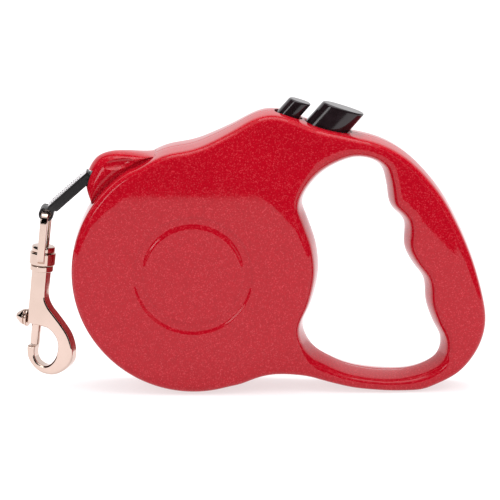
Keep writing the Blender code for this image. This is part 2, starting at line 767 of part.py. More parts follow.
def tape():
    black = make_material("woven_tape", TAPE_BLACK, 0.85)
    half = TAPE_WIDTH / 2
    start = tape_tangent()
    mouth = Vector(TAPE_MOUTH)
    out = Vector((math.cos(TAPE_EXIT_ANGLE), math.sin(TAPE_EXIT_ANGLE)))
    lip = mouth - out * 0.6 * MM
    inside = (start - lip).normalized()
    bend = [lip + inside * 5 * MM, lip + inside * 2 * MM]
    run = [start, *bend, lip - inside * 0.2 * MM + out * 0.3 * MM]
    with_material(plate("tape_run", [strip_outline(run, TAPE_THICK)], -half, half), black)
    begin = mouth + out * GAP * 2
    end = begin + out * SEWN_LENGTH
    sewn = strip_outline([begin, end], SEWN_THICK)
    with_material(plate("sewn_tape_end", [sewn], -half, half, 0.5 * MM, 1), black)
    inner_radius = EYE_WIRE + GAP
    rings = [arc(radius, 0, 360, 20)[:-1] for radius in (inner_radius + TAPE_THICK, inner_radius)]
    with_material(plate("tape_loop", rings, -half, half, parent=EYE), black)


def buttons():
    black = make_material("black_gloss_plastic", BLACK, 0.15)
    acetal = make_material("acetal", GREY_PLASTIC, 0.5)
    dark = make_material("small_spring_steel", STEEL, 0.3, 1.0)
    for label, top, length, breadth, reach in (
        ("brake", BRAKE_TOP, BRAKE_LENGTH, BRAKE_BREADTH, BRAKE_REACH),
        ("lock", LOCK_TOP, LOCK_LENGTH, LOCK_BREADTH, LOCK_REACH),
    ):
        size = (length, breadth, CAP_LONG)
        cap = oval_prism(f"{label}_button", top, CAP_LONG / 2, size, CAP_BEVEL)
        with_material(cap, black)
        stem_top = CAP_LONG + 1.0 * MM
        stem_long = reach - stem_top
        stem = block(
            f"{label}_plunger",
            (3.0 * MM, 2 * STEM_HALF, stem_long),
            button_matrix(top, stem_top + stem_long / 2),
        )
        collar = block(
            f"{label}_plunger_collar",
            (6.2 * MM, 8.0 * MM, COLLAR_THICK),
            button_matrix(top, COLLAR_DEPTH + COLLAR_THICK / 2),
            cutter=True,
        )
        join(stem, collar)
        if label == "brake":
            # The pawl is a step on the stem's end, wide enough to reach the toothed flange.
            pawl_top = SEAT_DEPTH + SEAT_THICK + GAP
            pawl_wide = TAPE_SPACE_HALF + GAP + FLANGE_THICK + STEM_HALF
            pawl = block(
                "brake_plunger_pawl",
                (2.98 * MM, pawl_wide, reach - pawl_top),
                Matrix.Translation((0, STEM_HALF - pawl_wide / 2, 0))
                @ button_matrix(top, (reach + pawl_top) / 2),
                cutter=True,
            )
            join(stem, pawl)
        with_material(stem, acetal)
        spring_top = COLLAR_DEPTH + COLLAR_THICK + GAP
        spring = coil(
            f"{label}_spring",
            button_place(top, spring_top + BUTTON_SPRING_LONG),
            button_place(top, spring_top),
            3.2 * MM,
            0.3 * MM,
            4,
            steps=10,
        )
        with_material(spring, dark)


def snap_outline():
    outer = through_points(SNAP_POINTS_OUTER, 3)
    inner = through_points(SNAP_POINTS_INNER, 3)
    side, top, bottom = SHANK_HALF / MM, SHANK_TOP / MM, SHANK_BOTTOM / MM
    points = [(-side, top), (side, top)] + outer + inner + [(1.4, bottom), (-side, bottom)]
    return [(x * MM, -down * MM) for x, down in points]


def snap():
    gold = make_material("rose_gold_plate", ROSE_GOLD, 0.12, 1.0)
    dark = make_material("snap_spring_steel", STEEL, 0.3, 1.0)
    # The eye: a closed racetrack of wire in the plane across the case, on a round hub.
    half = EYE_HALF_WIDTH - EYE_WIRE
    path = []
    for cy, cz, start, corner in (
        (half - EYE_TOP_CORNER, -EYE_TOP_CORNER, 0, EYE_TOP_CORNER),
        (-half + EYE_TOP_CORNER, -EYE_TOP_CORNER, 90, EYE_TOP_CORNER),
        (-half + EYE_LOW_CORNER, -EYE_DROP + EYE_LOW_CORNER, 180, EYE_LOW_CORNER),
        (half - EYE_LOW_CORNER, -EYE_DROP + EYE_LOW_CORNER, 270, EYE_LOW_CORNER),
    ):
        for step in range(5):
            angle = math.radians(start + 90 * step / 4)
            path.append((0, cy + corner * math.cos(angle), cz + corner * math.sin(angle)))
    eye = wire("swivel_eye", path, EYE_WIRE, EYE, closed=True)
    hub = rod("swivel_eye_hub", (0, 0, -HUB_TOP), (0, 0, -HUB_BOTTOM), HUB_RADIUS, EYE, True, 28)
    hub_hole = rod("swivel_eye_hole", (0, 0, -15 * MM), (0, 0, -23 * MM), 2.1 * MM, EYE, True, 24)
    with_material(cut(join(eye, hub), hub_hole), gold)
    rivet = [
        (0.0, -RIVET_TOP),
        (RIVET_HEAD_RADIUS - 0.9 * MM, -RIVET_TOP),
        (RIVET_HEAD_RADIUS, -RIVET_TOP - 0.8 * MM),
        (RIVET_HEAD_RADIUS, -RIVET_HEAD_BOTTOM),
        (RIVET_RADIUS, -RIVET_HEAD_BOTTOM),
        (RIVET_RADIUS, -RIVET_END),
        (0.0, -RIVET_END),
    ]
    with_material(turned("swivel_rivet", rivet, SNAP, steps=28, matrix=Matrix.Identity(4)), gold)
    body = plate("snap_body", [snap_outline()], -SNAP_HALF, SNAP_HALF, SNAP_BEVEL, 2, SNAP)
    flange = rod(
        "snap_flange", (0, 0, -FLANGE_TOP), (0, 0, -FLANGE_BOTTOM), FLANGE_RADIUS, SNAP, True, 28
    )
    rivet_ends = ((0, 0, -20 * MM), (0, 0, -RIVET_END - 0.4 * MM))
    rivet_hole = rod("snap_rivet_hole", *rivet_ends, RIVET_RADIUS + GAP, SNAP, True, 24)
    bore_radius = BOLT_RADIUS + 0.06 * MM
    bore = rod("snap_bore", (0, 0, -BORE_TOP), (0, 0, -48.5 * MM), bore_radius, SNAP, True, 24)
    slot_top, slot_bottom = 34.4 * MM, 46.2 * MM
    slot = block(
        "snap_slot",
        (6 * MM, 2.4 * MM, slot_bottom - slot_top),
        Matrix.Translation((-3 * MM, 0, -(slot_top + slot_bottom) / 2)),
        parent=SNAP,
        cutter=True,
    )
    with_material(cut(join(body, flange), rivet_hole, bore, slot), gold)
    bolt = [
        (0.0, -BOLT_TOP),
        (BOLT_RADIUS, -BOLT_TOP),
        (BOLT_RADIUS, -BOLT_TIP + 0.6 * MM),
        (1.1 * MM, -BOLT_TIP),
        (0.0, -BOLT_TIP),
    ]
    bolt = turned("snap_bolt", bolt, SNAP, steps=24, matrix=Matrix.Identity(4))
    stem_ends = ((-4 * MM, 0, -KNOB_DROP), (MM, 0, -KNOB_DROP))
    stem_hole = rod("snap_bolt_hole", *stem_ends, 1.0 * MM, SNAP, True, 16)
    with_material(cut(bolt, stem_hole), gold)
    knob = [
        (0.0, 0.4 * MM),
        (0.75 * MM, 0.4 * MM),
        (0.75 * MM, 3.7 * MM),
        (3.7 * MM, 3.7 * MM),
        (3.7 * MM, 4.6 * MM),
        (3.4 * MM, 5.0 * MM),
        (3.2 * MM, 5.8 * MM),
        (1.5 * MM, 8.9 * MM),
        (0.0, 9.3 * MM),
    ]
    left = Matrix.Translation((0, 0, -KNOB_DROP)) @ Matrix.Rotation(-math.pi / 2, 4, "Y")
    with_material(turned("thumb_knob", knob, SNAP, steps=24, matrix=left), gold)
    spring_ends = ((0, 0, -BORE_TOP - 0.4 * MM), (0, 0, -BOLT_TOP + 0.4 * MM))
    spring = coil("bolt_spring", *spring_ends, 1.15 * MM, 0.3 * MM, 5, SNAP, 10)
    with_material(spring, dark)


case()
reel()
tape()
buttons()
snap()
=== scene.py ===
"""The looks of the retractable leash: glossy red case, black buttons, woven tape, rose-gold snap.

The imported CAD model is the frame. Outlines are in millimetres from the spool's axis, and for the
snap in millimetres from the eye's bar, as in the part; everything else is in metres, +Z up.
"""

import json
import math

import bmesh
import bpy
import numpy as np
from mathutils import Matrix, Vector
from mathutils.geometry import delaunay_2d_cdt


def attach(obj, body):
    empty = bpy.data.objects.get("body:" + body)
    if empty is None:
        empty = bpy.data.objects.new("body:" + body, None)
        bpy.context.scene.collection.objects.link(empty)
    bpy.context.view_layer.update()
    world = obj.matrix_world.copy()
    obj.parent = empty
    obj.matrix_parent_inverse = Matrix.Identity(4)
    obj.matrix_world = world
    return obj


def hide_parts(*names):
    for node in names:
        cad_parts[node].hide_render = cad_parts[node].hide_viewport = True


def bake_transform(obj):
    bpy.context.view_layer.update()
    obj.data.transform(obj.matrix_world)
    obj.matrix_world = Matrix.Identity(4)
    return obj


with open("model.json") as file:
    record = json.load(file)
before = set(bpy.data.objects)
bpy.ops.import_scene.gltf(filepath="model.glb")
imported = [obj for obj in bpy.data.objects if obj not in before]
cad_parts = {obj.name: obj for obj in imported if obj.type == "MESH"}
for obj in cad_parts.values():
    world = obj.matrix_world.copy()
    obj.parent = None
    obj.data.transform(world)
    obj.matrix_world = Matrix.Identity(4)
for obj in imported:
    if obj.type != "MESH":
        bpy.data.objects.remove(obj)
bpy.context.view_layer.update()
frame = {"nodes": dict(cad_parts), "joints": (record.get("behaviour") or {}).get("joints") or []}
for startup in ("Cube", "Light", "Camera"):
    if startup in bpy.data.objects:
        bpy.data.objects.remove(bpy.data.objects[startup], do_unlink=True)

MM = 0.001
JOINTS = {joint["name"]: joint for joint in frame["joints"]}
SPOOL = Vector(JOINTS["reel_spin"]["pos_m"])
SPOOL_MM = Matrix.Translation(SPOOL) @ Matrix.Scale(MM, 4)

# The case, in millimetres from the spool's axis.
DRUM_RADIUS = 50.0
DRUM_HALF = 16.0
HANDLE_HALF = 12.3
STEP_START = 44.0
STEP_END = 66.0
OUTER_CROWN = 0.5
OPENING_CROWN = 1.8
CROWN_POWER = 1.5
FILLET = 3.7
NARROWEST_FACE = 0.6
LEAST_ROOM = 0.05
GRIP_START = 78.0
GRIP_BLEND = 14.0
GRIP_SHOULDER = 1.5
GRIP_SHOULDER_WIDTH = 15.0
WALL = 2.0
PARTING = 0.05
RING_INNER = 19.4
RING_OUTER = 24.6
RING_INNER_SLOPE = 1.7
RING_OUTER_SLOPE = 1.2
RING_DEPTH = 0.5
RING_MARGIN = 0.2
POINT_SPACING = 0.9
FACE_SPACING = 2.0
INNER_SPACING = 5.0

OUTER_POINTS = [
    (-24.0, 43.0), (-12.1, 49.4), (1.1, 52.3), (14.2, 58.2), (23.5, 63.3), (30.5, 65.4),
    (38.0, 64.4), (50.1, 59.8), (63.0, 56.8), (76.5, 53.2), (88.1, 46.4), (99.6, 33.9),
    (107.7, 20.1), (114.4, 4.4), (119.2, -12.8), (119.9, -23.1), (116.7, -33.2), (109.6, -42.4),
    (99.9, -47.8), (91.0, -50.4), (69.0, -49.4), (57.1, -47.1), (43.7, -43.8), (30.4, -43.1),
    (17.7, -47.5),
]
OPENING_POINTS = [
    (67.0, 46.2), (75.7, 43.3), (78.5, 35.5), (80.2, 26.5), (85.9, 20.0), (86.1, 9.5), (89.8, 2.0),
    (94.3, -4.3), (95.3, -14.0), (98.3, -22.4), (101.6, -29.5), (99.5, -37.3), (90.4, -42.1),
    (79.0, -43.3), (66.0, -41.6), (56.8, -38.0), (48.7, -32.5), (44.9, -23.4), (48.7, -13.2),
    (51.2, -1.1), (50.2, 10.3), (46.5, 21.4), (44.5, 28.3), (48.8, 36.3), (56.4, 42.6),
]
SCREW_PLACES = [(35.6, 49.2), (37.5, -38.2), (97.0, 27.5), (110.0, -26.0)]
SCREW_SEAT_Y = 6.0
SCREW_SEAT_RADIUS = 2.9
SCREW_HOLE_RADIUS = 1.7
BOSS_RADIUS = 4.4
BOSS_FACES = (0.3, HANDLE_HALF - 1.2)
AXLE_SEAT_Y = 14.6
OUTSIDE = 20.0

# The nozzle's outer contour, and the channel that the tape runs through.
NOZZLE_POINTS = [
    (-13.0, 47.3), (-20.0, 48.1), (-27.2, 48.7), (-33.6, 48.4), (-38.6, 46.5), (-41.8, 42.6),
    (-43.6, 37.4), (-43.4, 32.6), (-41.2, 28.0), (-39.6, 26.0),
]
CHANNEL_POINTS = [
    (-16.0, 43.9), (-46.5, 40.6), (-48.0, 32.4), (-41.6, 35.4), (-36.0, 37.6), (-16.0, 40.6),
]
NOZZLE_HALF = 8.0
NOZZLE_BASE = 46.2
NOZZLE_WAIST = 0.4
CHANNEL_HALF = 5.4
WINDOW_GAP = 0.2
SCOOP_MIDDLE = (-32.0, -12.6, 45.0)
SCOOP_RADII = (11.0, 6.4, 4.2)
SCOOP_PITCH = math.radians(-8.0)
SCOOP_YAW = math.radians(6.0)

# The fine ribs across the drum's rim beside the nozzle.
RIB_COUNT = 11
RIB_START = 122.5
RIB_PITCH = 1.45
RIB_Y = -10.6
RIB_SIZE = (0.5, 3.0, 0.34)

# The tape outside the case.
TAPE_MOUTH = (-43.8, 37.2)
TAPE_EXIT = math.radians(221.5)
TAPE_HALF = 5.0
SEWN_START = -2.4
SEWN_END = 18.3
LOOP_INNER = 2.1
LOOP_OUTER = 3.0
SEWN_THICK = 4.0
FOLD_HEIGHTS = (-1.0, 0.0, 1.0)
BAND_MARGIN = 0.35
BAND_THICK = 0.12
NECK_START = -4.2
NECK_HALF = 4.9
NECK_THICK = 1.0
STITCH_ROWS = (-3.9, 3.9)
STITCH_COUNT = 16
STITCH_START = 1.2
STITCH_PITCH = 1.02
STITCH_HALF = 0.33
THREAD_RADIUS = 0.17

# The buttons: the middle of each top, and its length and breadth.
BUTTON_DIRECTION = math.radians(48.5)
BUTTON_SLOPE = math.radians(-17.5)
BUTTONS = {"brake": ((61.2, 66.4), 17.5, 12.4), "lock": ((43.6, 69.2), 9.2, 9.6)}
BUTTON_LONG = 15.0
BUTTON_GAP = 0.3
BUTTON_ABOVE = -3.0
OVAL_POWER = 0.8
SLOT_DEPTH = 19.0
SEAT_FLARE = 1.3
SEAT_DEPTH = 11.2

# The snap, in its own frame: down from the middle of the eye's bar along -Z.
SNAP_LEAN = math.radians(6.0)
EYE_TURN = math.radians(-2.5)
SNAP_TURN = math.radians(-20.0)
EYE_HALF_WIDTH = 8.8
EYE_DROP = 19.7
STRAP_WIDE = 3.1
STRAP_THICK = 2.5
STRAP_ROUNDING = 0.55
HUB_RADIUS = 5.35
HUB_TOP = 16.6
HUB_BOTTOM = 21.75
HUB_BORE_RADIUS = 2.15
RIVET_RADIUS = 2.0
RIVET_HEAD_RADIUS = 4.8
RIVET_TOP = 13.9
RIVET_HEAD_BOTTOM = 16.3
RIVET_END = 23.3
RIVET_BORE_RADIUS = 2.3
FLANGE_RADIUS = 4.8
FLANGE_TOP = 22.05
FLANGE_BOTTOM = 24.4
SNAP_HALF = 2.7
SNAP_BEVEL = 0.9
SHANK_HALF = 3.4
SHANK_TOP = 23.6
SHANK_BOTTOM = 47.1
BORE_TOP = 27.5
BORE_BOTTOM = 48.5
BORE_CLEARANCE = 0.08
SLOT_SIZE = (6.0, 2.4, 11.8)
SLOT_MIDDLE = (-3.0, 0.0, -40.3)
KNOB_DROP = 45.2
BOLT_RADIUS = 1.95
BOLT_TOP = 40.1
BOLT_TIP = 55.9
SNAP_OUTER = [
    (3.4, 31.0), (3.7, 35.4), (5.6, 38.75), (8.4, 41.45), (12.3, 45.25), (15.3, 48.75),
    (17.2, 52.75), (18.0, 56.4), (17.7, 59.75), (15.8, 62.9), (12.9, 65.4), (9.3, 66.8),
    (4.7, 66.6), (1.0, 64.5), (-1.5, 61.4), (-2.3, 58.0), (-2.2, 56.3),
]
SNAP_INNER = [
    (1.2, 56.3), (1.0, 58.4), (1.4, 60.6), (2.9, 62.6), (5.9, 63.6), (8.7, 62.3), (10.8, 58.9),
    (11.3, 54.7), (10.3, 51.3), (8.2, 49.0), (5.8, 47.5),
]


# Mesh tools.

SHARP_ANGLE = math.radians(40.0)


def smoothed(mesh):
    mesh.shade_smooth()
    mesh.set_sharp_from_angle(angle=SHARP_ANGLE)


def mesh_object(name, verts, faces, matrix):
    """An object made from points and faces, welded, with its faces turned outwards."""
    mesh = bpy.data.meshes.new(name)
    mesh.from_pydata([tuple(map(float, v)) for v in verts], [], [tuple(map(int, f)) for f in faces])
    work = bmesh.new()
    work.from_mesh(mesh)
    bmesh.ops.transform(work, matrix=matrix, verts=work.verts)
    bmesh.ops.remove_doubles(work, verts=work.verts, dist=2e-6)
    bmesh.ops.dissolve_degenerate(work, dist=1e-6, edges=work.edges)
    bmesh.ops.recalc_face_normals(work, faces=work.faces)
    work.to_mesh(mesh)
    work.free()
    smoothed(mesh)
    obj = bpy.data.objects.new(name, mesh)
    bpy.context.scene.collection.objects.link(obj)
    return obj


def applied_mesh(obj):
    """A new mesh with the shape that an object has after its curve or its modifiers are worked out."""
    bpy.context.view_layer.update()
    evaluated = obj.evaluated_get(bpy.context.evaluated_depsgraph_get())
    return bpy.data.meshes.new_from_object(evaluated)


def applied(obj):
    """Puts the result of an object's modifiers in its mesh."""
    mesh = applied_mesh(obj)
    obj.modifiers.clear()
    obj.data = mesh
    return obj


def combine(obj, operation, others):
    """A Boolean of an object with others, applied; the others are used up."""
    for other in others:
        modifier = obj.modifiers.new(operation, "BOOLEAN")
        modifier.operation = operation
        modifier.solver = "MANIFOLD"
        modifier.object = other
    smoothed(applied(obj).data)
    for other in others:
        bpy.data.objects.remove(other, do_unlink=True)
    return obj


def catmull_rom(points, closed, steps=12):
    """A dense smooth line through the points."""
    points = np.array(points, float)
    count = len(points)
    result = []
    for i in range(count if closed else count - 1):
        if closed:
            a, b, c, d = (points[(i + k) % count] for k in (-1, 0, 1, 2))
        else:
            a, b, c, d = (points[min(max(i + k, 0), count - 1)] for k in (-1, 0, 1, 2))
        for t in np.arange(steps) / steps:
            result.append(0.5 * (2 * b + (c - a) * t + (2 * a - 5 * b + 4 * c - d) * t**2
                                 + (3 * b - a - 3 * c + d) * t**3))
    if not closed:
        result.append(points[-1])
    return np.array(result)


def even(points, spacing, closed):
    """The same line with equally spaced points."""
    line = np.vstack([points, points[:1]]) if closed else points
    lengths = np.concatenate([[0], np.cumsum(np.linalg.norm(np.diff(line, axis=0), axis=1))])
    count = max(round(lengths[-1] / spacing), 3)
    at = np.linspace(0, lengths[-1], count + 1)
    moved = np.column_stack([np.interp(at, lengths, line[:, k]) for k in range(line.shape[1])])
    return moved[:-1] if closed else moved


def softened(points, width):
    """A closed line with its small waves averaged out over a width in points, hardly shrunk."""
    reach = int(3 * width)
    weights = np.exp(-0.5 * (np.arange(-reach, reach + 1) / width) ** 2)
    weights /= weights.sum()

    def averaged(line):
        total = np.zeros_like(line)
        for shift, weight in zip(range(-reach, reach + 1), weights):
            total += weight * np.roll(line, shift, axis=0)
        return total

    once = averaged(points)
    return once + 0.85 * averaged(points - once)


def area_of(loop):
    x, z = loop[:, 0], loop[:, 1]
    return 0.5 * float(np.sum(np.roll(x, 1) * z - x * np.roll(z, 1)))


def normals_of(loop):
    """The unit normals of a closed loop that point out of what it encloses."""
    tangent = np.roll(loop, -1, axis=0) - np.roll(loop, 1, axis=0)
    tangent /= np.linalg.norm(tangent, axis=1)[:, None]
    normal = np.column_stack([tangent[:, 1], -tangent[:, 0]])
    return normal if area_of(loop) > 0 else -normal


def distance_to(points, loop):
    """How far each point is from the nearest stretch of a closed loop."""
    start = loop[None]
    step = (np.roll(loop, -1, axis=0) - loop)[None]
    result = np.empty(len(points))
    for first in range(0, len(points), 500):
        gap = points[first:first + 500, None] - start
        part = np.clip((gap * step).sum(2) / (step**2).sum(2), 0, 1)
        result[first:first + 500] = np.linalg.norm(gap - part[..., None] * step, axis=2).min(1)
    return result


def inside(points, loop):
    """True for each point that the closed loop encloses."""
    x, z = points[:, 0][:, None], points[:, 1][:, None]
    x0, z0 = loop[:, 0][None], loop[:, 1][None]
    x1, z1 = np.roll(loop[:, 0], -1)[None], np.roll(loop[:, 1], -1)[None]
    crosses = (z0 > z) != (z1 > z)
    slope = (x1 - x0) / np.where(z1 == z0, 1e-9, z1 - z0)
    return (np.sum(crosses & (x < x0 + (z - z0) * slope), axis=1) % 2) == 1


def smooth_step(value):
    value = np.clip(value, 0, 1)
    return value * value * (3 - 2 * value)


def rounded(corners, closed=True, steps=5):
    """A line through corners (x, y, radius), each rounded over its radius on both sides."""
    result = []
    count = len(corners)
    for i, (x, y, radius) in enumerate(corners):
        here = np.array((x, y))
        if radius == 0 or (not closed and i in (0, count - 1)):
            result.append(here)
            continue
        before = np.array(corners[i - 1][:2]) - here
        after = np.array(corners[(i + 1) % count][:2]) - here
        start = here + before * min(radius / np.linalg.norm(before), 0.5)
        end = here + after * min(radius / np.linalg.norm(after), 0.5)
        for t in np.linspace(0, 1, steps):
            result.append(start * (1 - t) ** 2 + 2 * t * (1 - t) * here + end * t * t)
    return np.array(result)


def strip_section(wide, thick, radius, steps):
    """A strip's cross-section from its half width, half thickness and corner radius."""
    corners = [(-wide, -thick), (wide, -thick), (wide, thick), (-wide, thick)]
    return rounded([(*corner, radius) for corner in corners], True, steps)


def frame_matrix(place, turn, lean):
    """A frame in millimetres at a place in metres, turned about its z axis and then leaned."""
    turned_by = Matrix.Rotation(lean, 4, "Y") @ Matrix.Rotation(turn, 4, "Z")
    return Matrix.Translation(place) @ turned_by @ Matrix.Scale(MM, 4)


def turned(name, profile, matrix, steps=72):
    """A line of (radius, height) from axis to axis, turned about z."""
    angles = 2 * math.pi * np.arange(steps) / steps
    verts, faces = [], []
    for radius, height in profile:
        ring = np.column_stack([np.cos(angles), np.sin(angles)]) * max(radius, 0.0)
        verts.append(np.column_stack([ring, np.full(steps, height)]))
    for level in range(len(profile) - 1):
        base, above = level * steps, (level + 1) * steps
        for i in range(steps):
            j = (i + 1) % steps
            faces.append((base + i, base + j, above + j, above + i))
    return mesh_object(name, np.vstack(verts), faces, matrix)


def rod(name, radius, low, high, matrix, steps=48):
    return turned(name, [(0, low), (radius, low), (radius, high), (0, high)], matrix, steps)


def flat_shape(name, loops, low, high, matrix, bevel=0.0, steps=4):
    """Outlines in a frame's x-z plane, filled from y = low to y = high, with round edges."""
    curve = bpy.data.curves.new(name, "CURVE")
    curve.dimensions = "2D"
    curve.fill_mode = "BOTH"
    curve.extrude = (high - low) / 2 - bevel
    curve.bevel_depth = bevel
    curve.bevel_resolution = steps
    curve.offset = -bevel
    for loop in loops:
        spline = curve.splines.new("POLY")
        spline.points.add(len(loop) - 1)
        spline.use_cyclic_u = True
        for point, (x, z) in zip(spline.points, loop):
            point.co = (x, z, 0, 1)
    source = bpy.data.objects.new(name + "_outline", curve)
    bpy.context.scene.collection.objects.link(source)
    mesh = applied_mesh(source)
    verts = [tuple(v.co) for v in mesh.vertices]
    faces = [tuple(f.vertices) for f in mesh.polygons]
    bpy.data.objects.remove(source, do_unlink=True)
    bpy.data.meshes.remove(mesh)
    upright = Matrix.Translation((0, (low + high) / 2, 0)) @ Matrix.Rotation(math.pi / 2, 4, "X")
    return mesh_object(name, verts, faces, matrix @ upright)


def box_mesh(name, size, matrix):
    x, y, z = (value / 2 for value in size)
    loop = [(-x, -z), (x, -z), (x, z), (-x, z)]
    return flat_shape(name, [loop], -y, y, matrix)


def even_shading(obj):
    """Flat faces keep flat shading up to the round edges next to them."""
    modifier = obj.modifiers.new("even", "WEIGHTED_NORMAL")
    modifier.keep_sharp = True
    return applied(obj)


# The case's outlines and its thickness.

def case_loops():
    """The outer outline and the hand opening's, smooth and evenly spaced."""
    curved = catmull_rom(OUTER_POINTS, False)
    start = math.atan2(OUTER_POINTS[-1][1], OUTER_POINTS[-1][0])
    end = math.atan2(OUTER_POINTS[0][1], OUTER_POINTS[0][0]) - 2 * math.pi
    angles = np.linspace(start, end, 200)[1:-1]
    drum = DRUM_RADIUS * np.column_stack([np.cos(angles), np.sin(angles)])
    outer = softened(even(np.vstack([curved, drum]), POINT_SPACING, True), 3.0)
    opening = softened(even(catmull_rom(OPENING_POINTS, True), POINT_SPACING, True), 2.4)
    return even(outer, POINT_SPACING, True), even(opening, POINT_SPACING, True)


OUTER, OPENING = case_loops()


def half_thickness(points, grooved=True):
    """How far the case's face is from the middle plane at each point of the side view."""
    radius = np.linalg.norm(points, axis=1)
    step = smooth_step((radius - STEP_START) / (STEP_END - STEP_START))
    half = DRUM_HALF - (DRUM_HALF - HANDLE_HALF) * step
    grip = smooth_step((points[:, 0] - GRIP_START) / GRIP_BLEND)
    edge = distance_to(points, OUTER)
    half = half - GRIP_SHOULDER * grip * (1 - np.clip(edge / GRIP_SHOULDER_WIDTH, 0, 1)) ** 2
    if grooved:
        deep = smooth_step((radius - RING_INNER) / RING_INNER_SLOPE)
        deep = deep * smooth_step((RING_OUTER - radius) / RING_OUTER_SLOPE)
        half = half - RING_DEPTH * deep
    return half


def room_between(loop, other, wall):
    """The part of its full reach that an edge has at each point, less where the case is narrow."""
    reach = OUTER_CROWN + OPENING_CROWN + 2 * FILLET
    return np.clip((distance_to(loop, other) - 2 * wall - NARROWEST_FACE) / reach, LEAST_ROOM, 1)


def edge_rings(loop, other, into, crown, half_of, wall=0.0, steps=9):
    """Rings of (x, y, z) from the parting line over the crown and the fillet to the flat face."""
    normal = normals_of(loop) * into
    reach = crown + FILLET
    room = room_between(loop, other, wall)
    half = half_of(loop + normal * (reach * room + wall)[:, None]) - wall
    rings = []
    if not wall:
        rings.append((np.full(len(loop), 0.3), np.full(len(loop), PARTING)))
        rings.append((np.full(len(loop), 0.05), np.full(len(loop), 0.28)))
    low = half - FILLET
    for step in range(1 if not wall else 0, 8):
        part = step / 7
        rings.append((crown * part**CROWN_POWER * np.ones(len(loop)), np.maximum(low * part, PARTING)))
    slope = crown * CROWN_POWER / low
    for step in range(1, steps + 1):
        t = step / steps
        across = crown * (1 - t) ** 2 + 2 * t * (1 - t) * (crown + slope * FILLET) + t * t * reach
        deep = low * (1 - t) ** 2 + 2 * t * (1 - t) * half + t * t * half
        rings.append((across, deep))
    result = []
    for across, deep in rings:
        at = loop + normal * (across * room + wall)[:, None]
        result.append(np.column_stack([at[:, 0], deep, at[:, 1]]))
    return result


def stitched(rings):
    """Points and quads of a stack of closed rings with equal counts."""
    count = len(rings[0])
    faces = []
    for level in range(len(rings) - 1):
        base, above = level * count, (level + 1) * count
        for i in range(count):
            j = (i + 1) % count
            faces.append((base + i, base + j, above + j, above + i))
    return np.vstack(rings), faces


def face_fill(outer, hole, spacing, circles):
    """Triangles that fill the space between two loops, over points spread inside it."""
    low, high = outer.min(0), outer.max(0)
    rows = []
    for row, z in enumerate(np.arange(low[1], high[1], spacing * 0.866)):
        shift = 0.5 * spacing * (row % 2)
        x = np.arange(low[0] + shift, high[0], spacing)
        rows.append(np.column_stack([x, np.full(len(x), z)]))
    grid = np.vstack(rows)
    keep = inside(grid, outer) & ~inside(grid, hole)
    grid = grid[keep]
    clear = (distance_to(grid, outer) > 0.6 * spacing) & (distance_to(grid, hole) > 0.6 * spacing)
    grid = grid[clear]
    if circles:
        radius = np.linalg.norm(grid, axis=1)
        grid = grid[(radius < circles[0] - 1.0) | (radius > circles[-1] + 1.0)]
    extra = []
    for radius in circles:
        angles = 2 * math.pi * np.arange(180) / 180
        extra.append(radius * np.column_stack([np.cos(angles), np.sin(angles)]))
    points = np.vstack([outer, hole, grid, *extra])
    first = len(outer)
    edges = [(i, (i + 1) % first) for i in range(first)]
    edges += [(first + i, first + (i + 1) % len(hole)) for i in range(len(hole))]
    at, _, faces, *_ = delaunay_2d_cdt([Vector(p) for p in points], edges, [], 0, 1e-7)
    at = np.array([tuple(p) for p in at])
    faces = np.array(faces)
    centre = at[faces].mean(1)
    keep = inside(centre, outer) & ~inside(centre, hole)
    return at, faces[keep]


def skin(half_of, spacing, wall, circles=()):
    """One side of the case wall: its edge rings and its face, as points and faces with y > 0."""
    outer_rings = edge_rings(OUTER, OPENING, -1, OUTER_CROWN, half_of, wall)
    opening_rings = edge_rings(OPENING, OUTER, 1, OPENING_CROWN, half_of, wall)
    verts, faces = stitched(outer_rings)
    more, more_faces = stitched(opening_rings)
    faces += [tuple(i + len(verts) for i in face) for face in more_faces]
    verts = np.vstack([verts, more])
    edges = [rings[-1][:, [0, 2]] for rings in (outer_rings, opening_rings)]
    flat, triangles = face_fill(*edges, spacing, circles)
    deep = half_of(flat) - wall
    faces += [tuple(i + len(verts) for i in face) for face in triangles]
    verts = np.vstack([verts, np.column_stack([flat[:, 0], deep, flat[:, 1]])])
    return verts, faces, outer_rings[0], opening_rings[0]


def shell(name, side):
    """One half of the case as a closed hollow shell; side is -1 for the front, 1 for the rear."""
    circles = [
        *np.linspace(RING_INNER - RING_MARGIN, RING_INNER + RING_INNER_SLOPE + RING_MARGIN, 8),
        *np.linspace(RING_OUTER - RING_OUTER_SLOPE - RING_MARGIN, RING_OUTER + RING_MARGIN, 7),
    ]
    verts, faces, *rims = skin(half_thickness, FACE_SPACING, 0.0, circles)
    inner, inner_faces, *inner_rims = skin(lambda p: half_thickness(p, False), INNER_SPACING, WALL)
    faces += [tuple(i + len(verts) for i in face[::-1]) for face in inner_faces]
    verts = np.vstack([verts, inner])
    for rim, inner_rim in zip(rims, inner_rims):
        bridge, bridge_faces = stitched([rim, inner_rim])
        faces += [tuple(i + len(verts) for i in face) for face in bridge_faces]
        verts = np.vstack([verts, bridge])
    verts[:, 1] *= side
    verts[:, 2] = np.maximum(verts[:, 2], -SPOOL.z / MM)
    return cut_shell(mesh_object(name, verts, faces, SPOOL_MM), name, side)


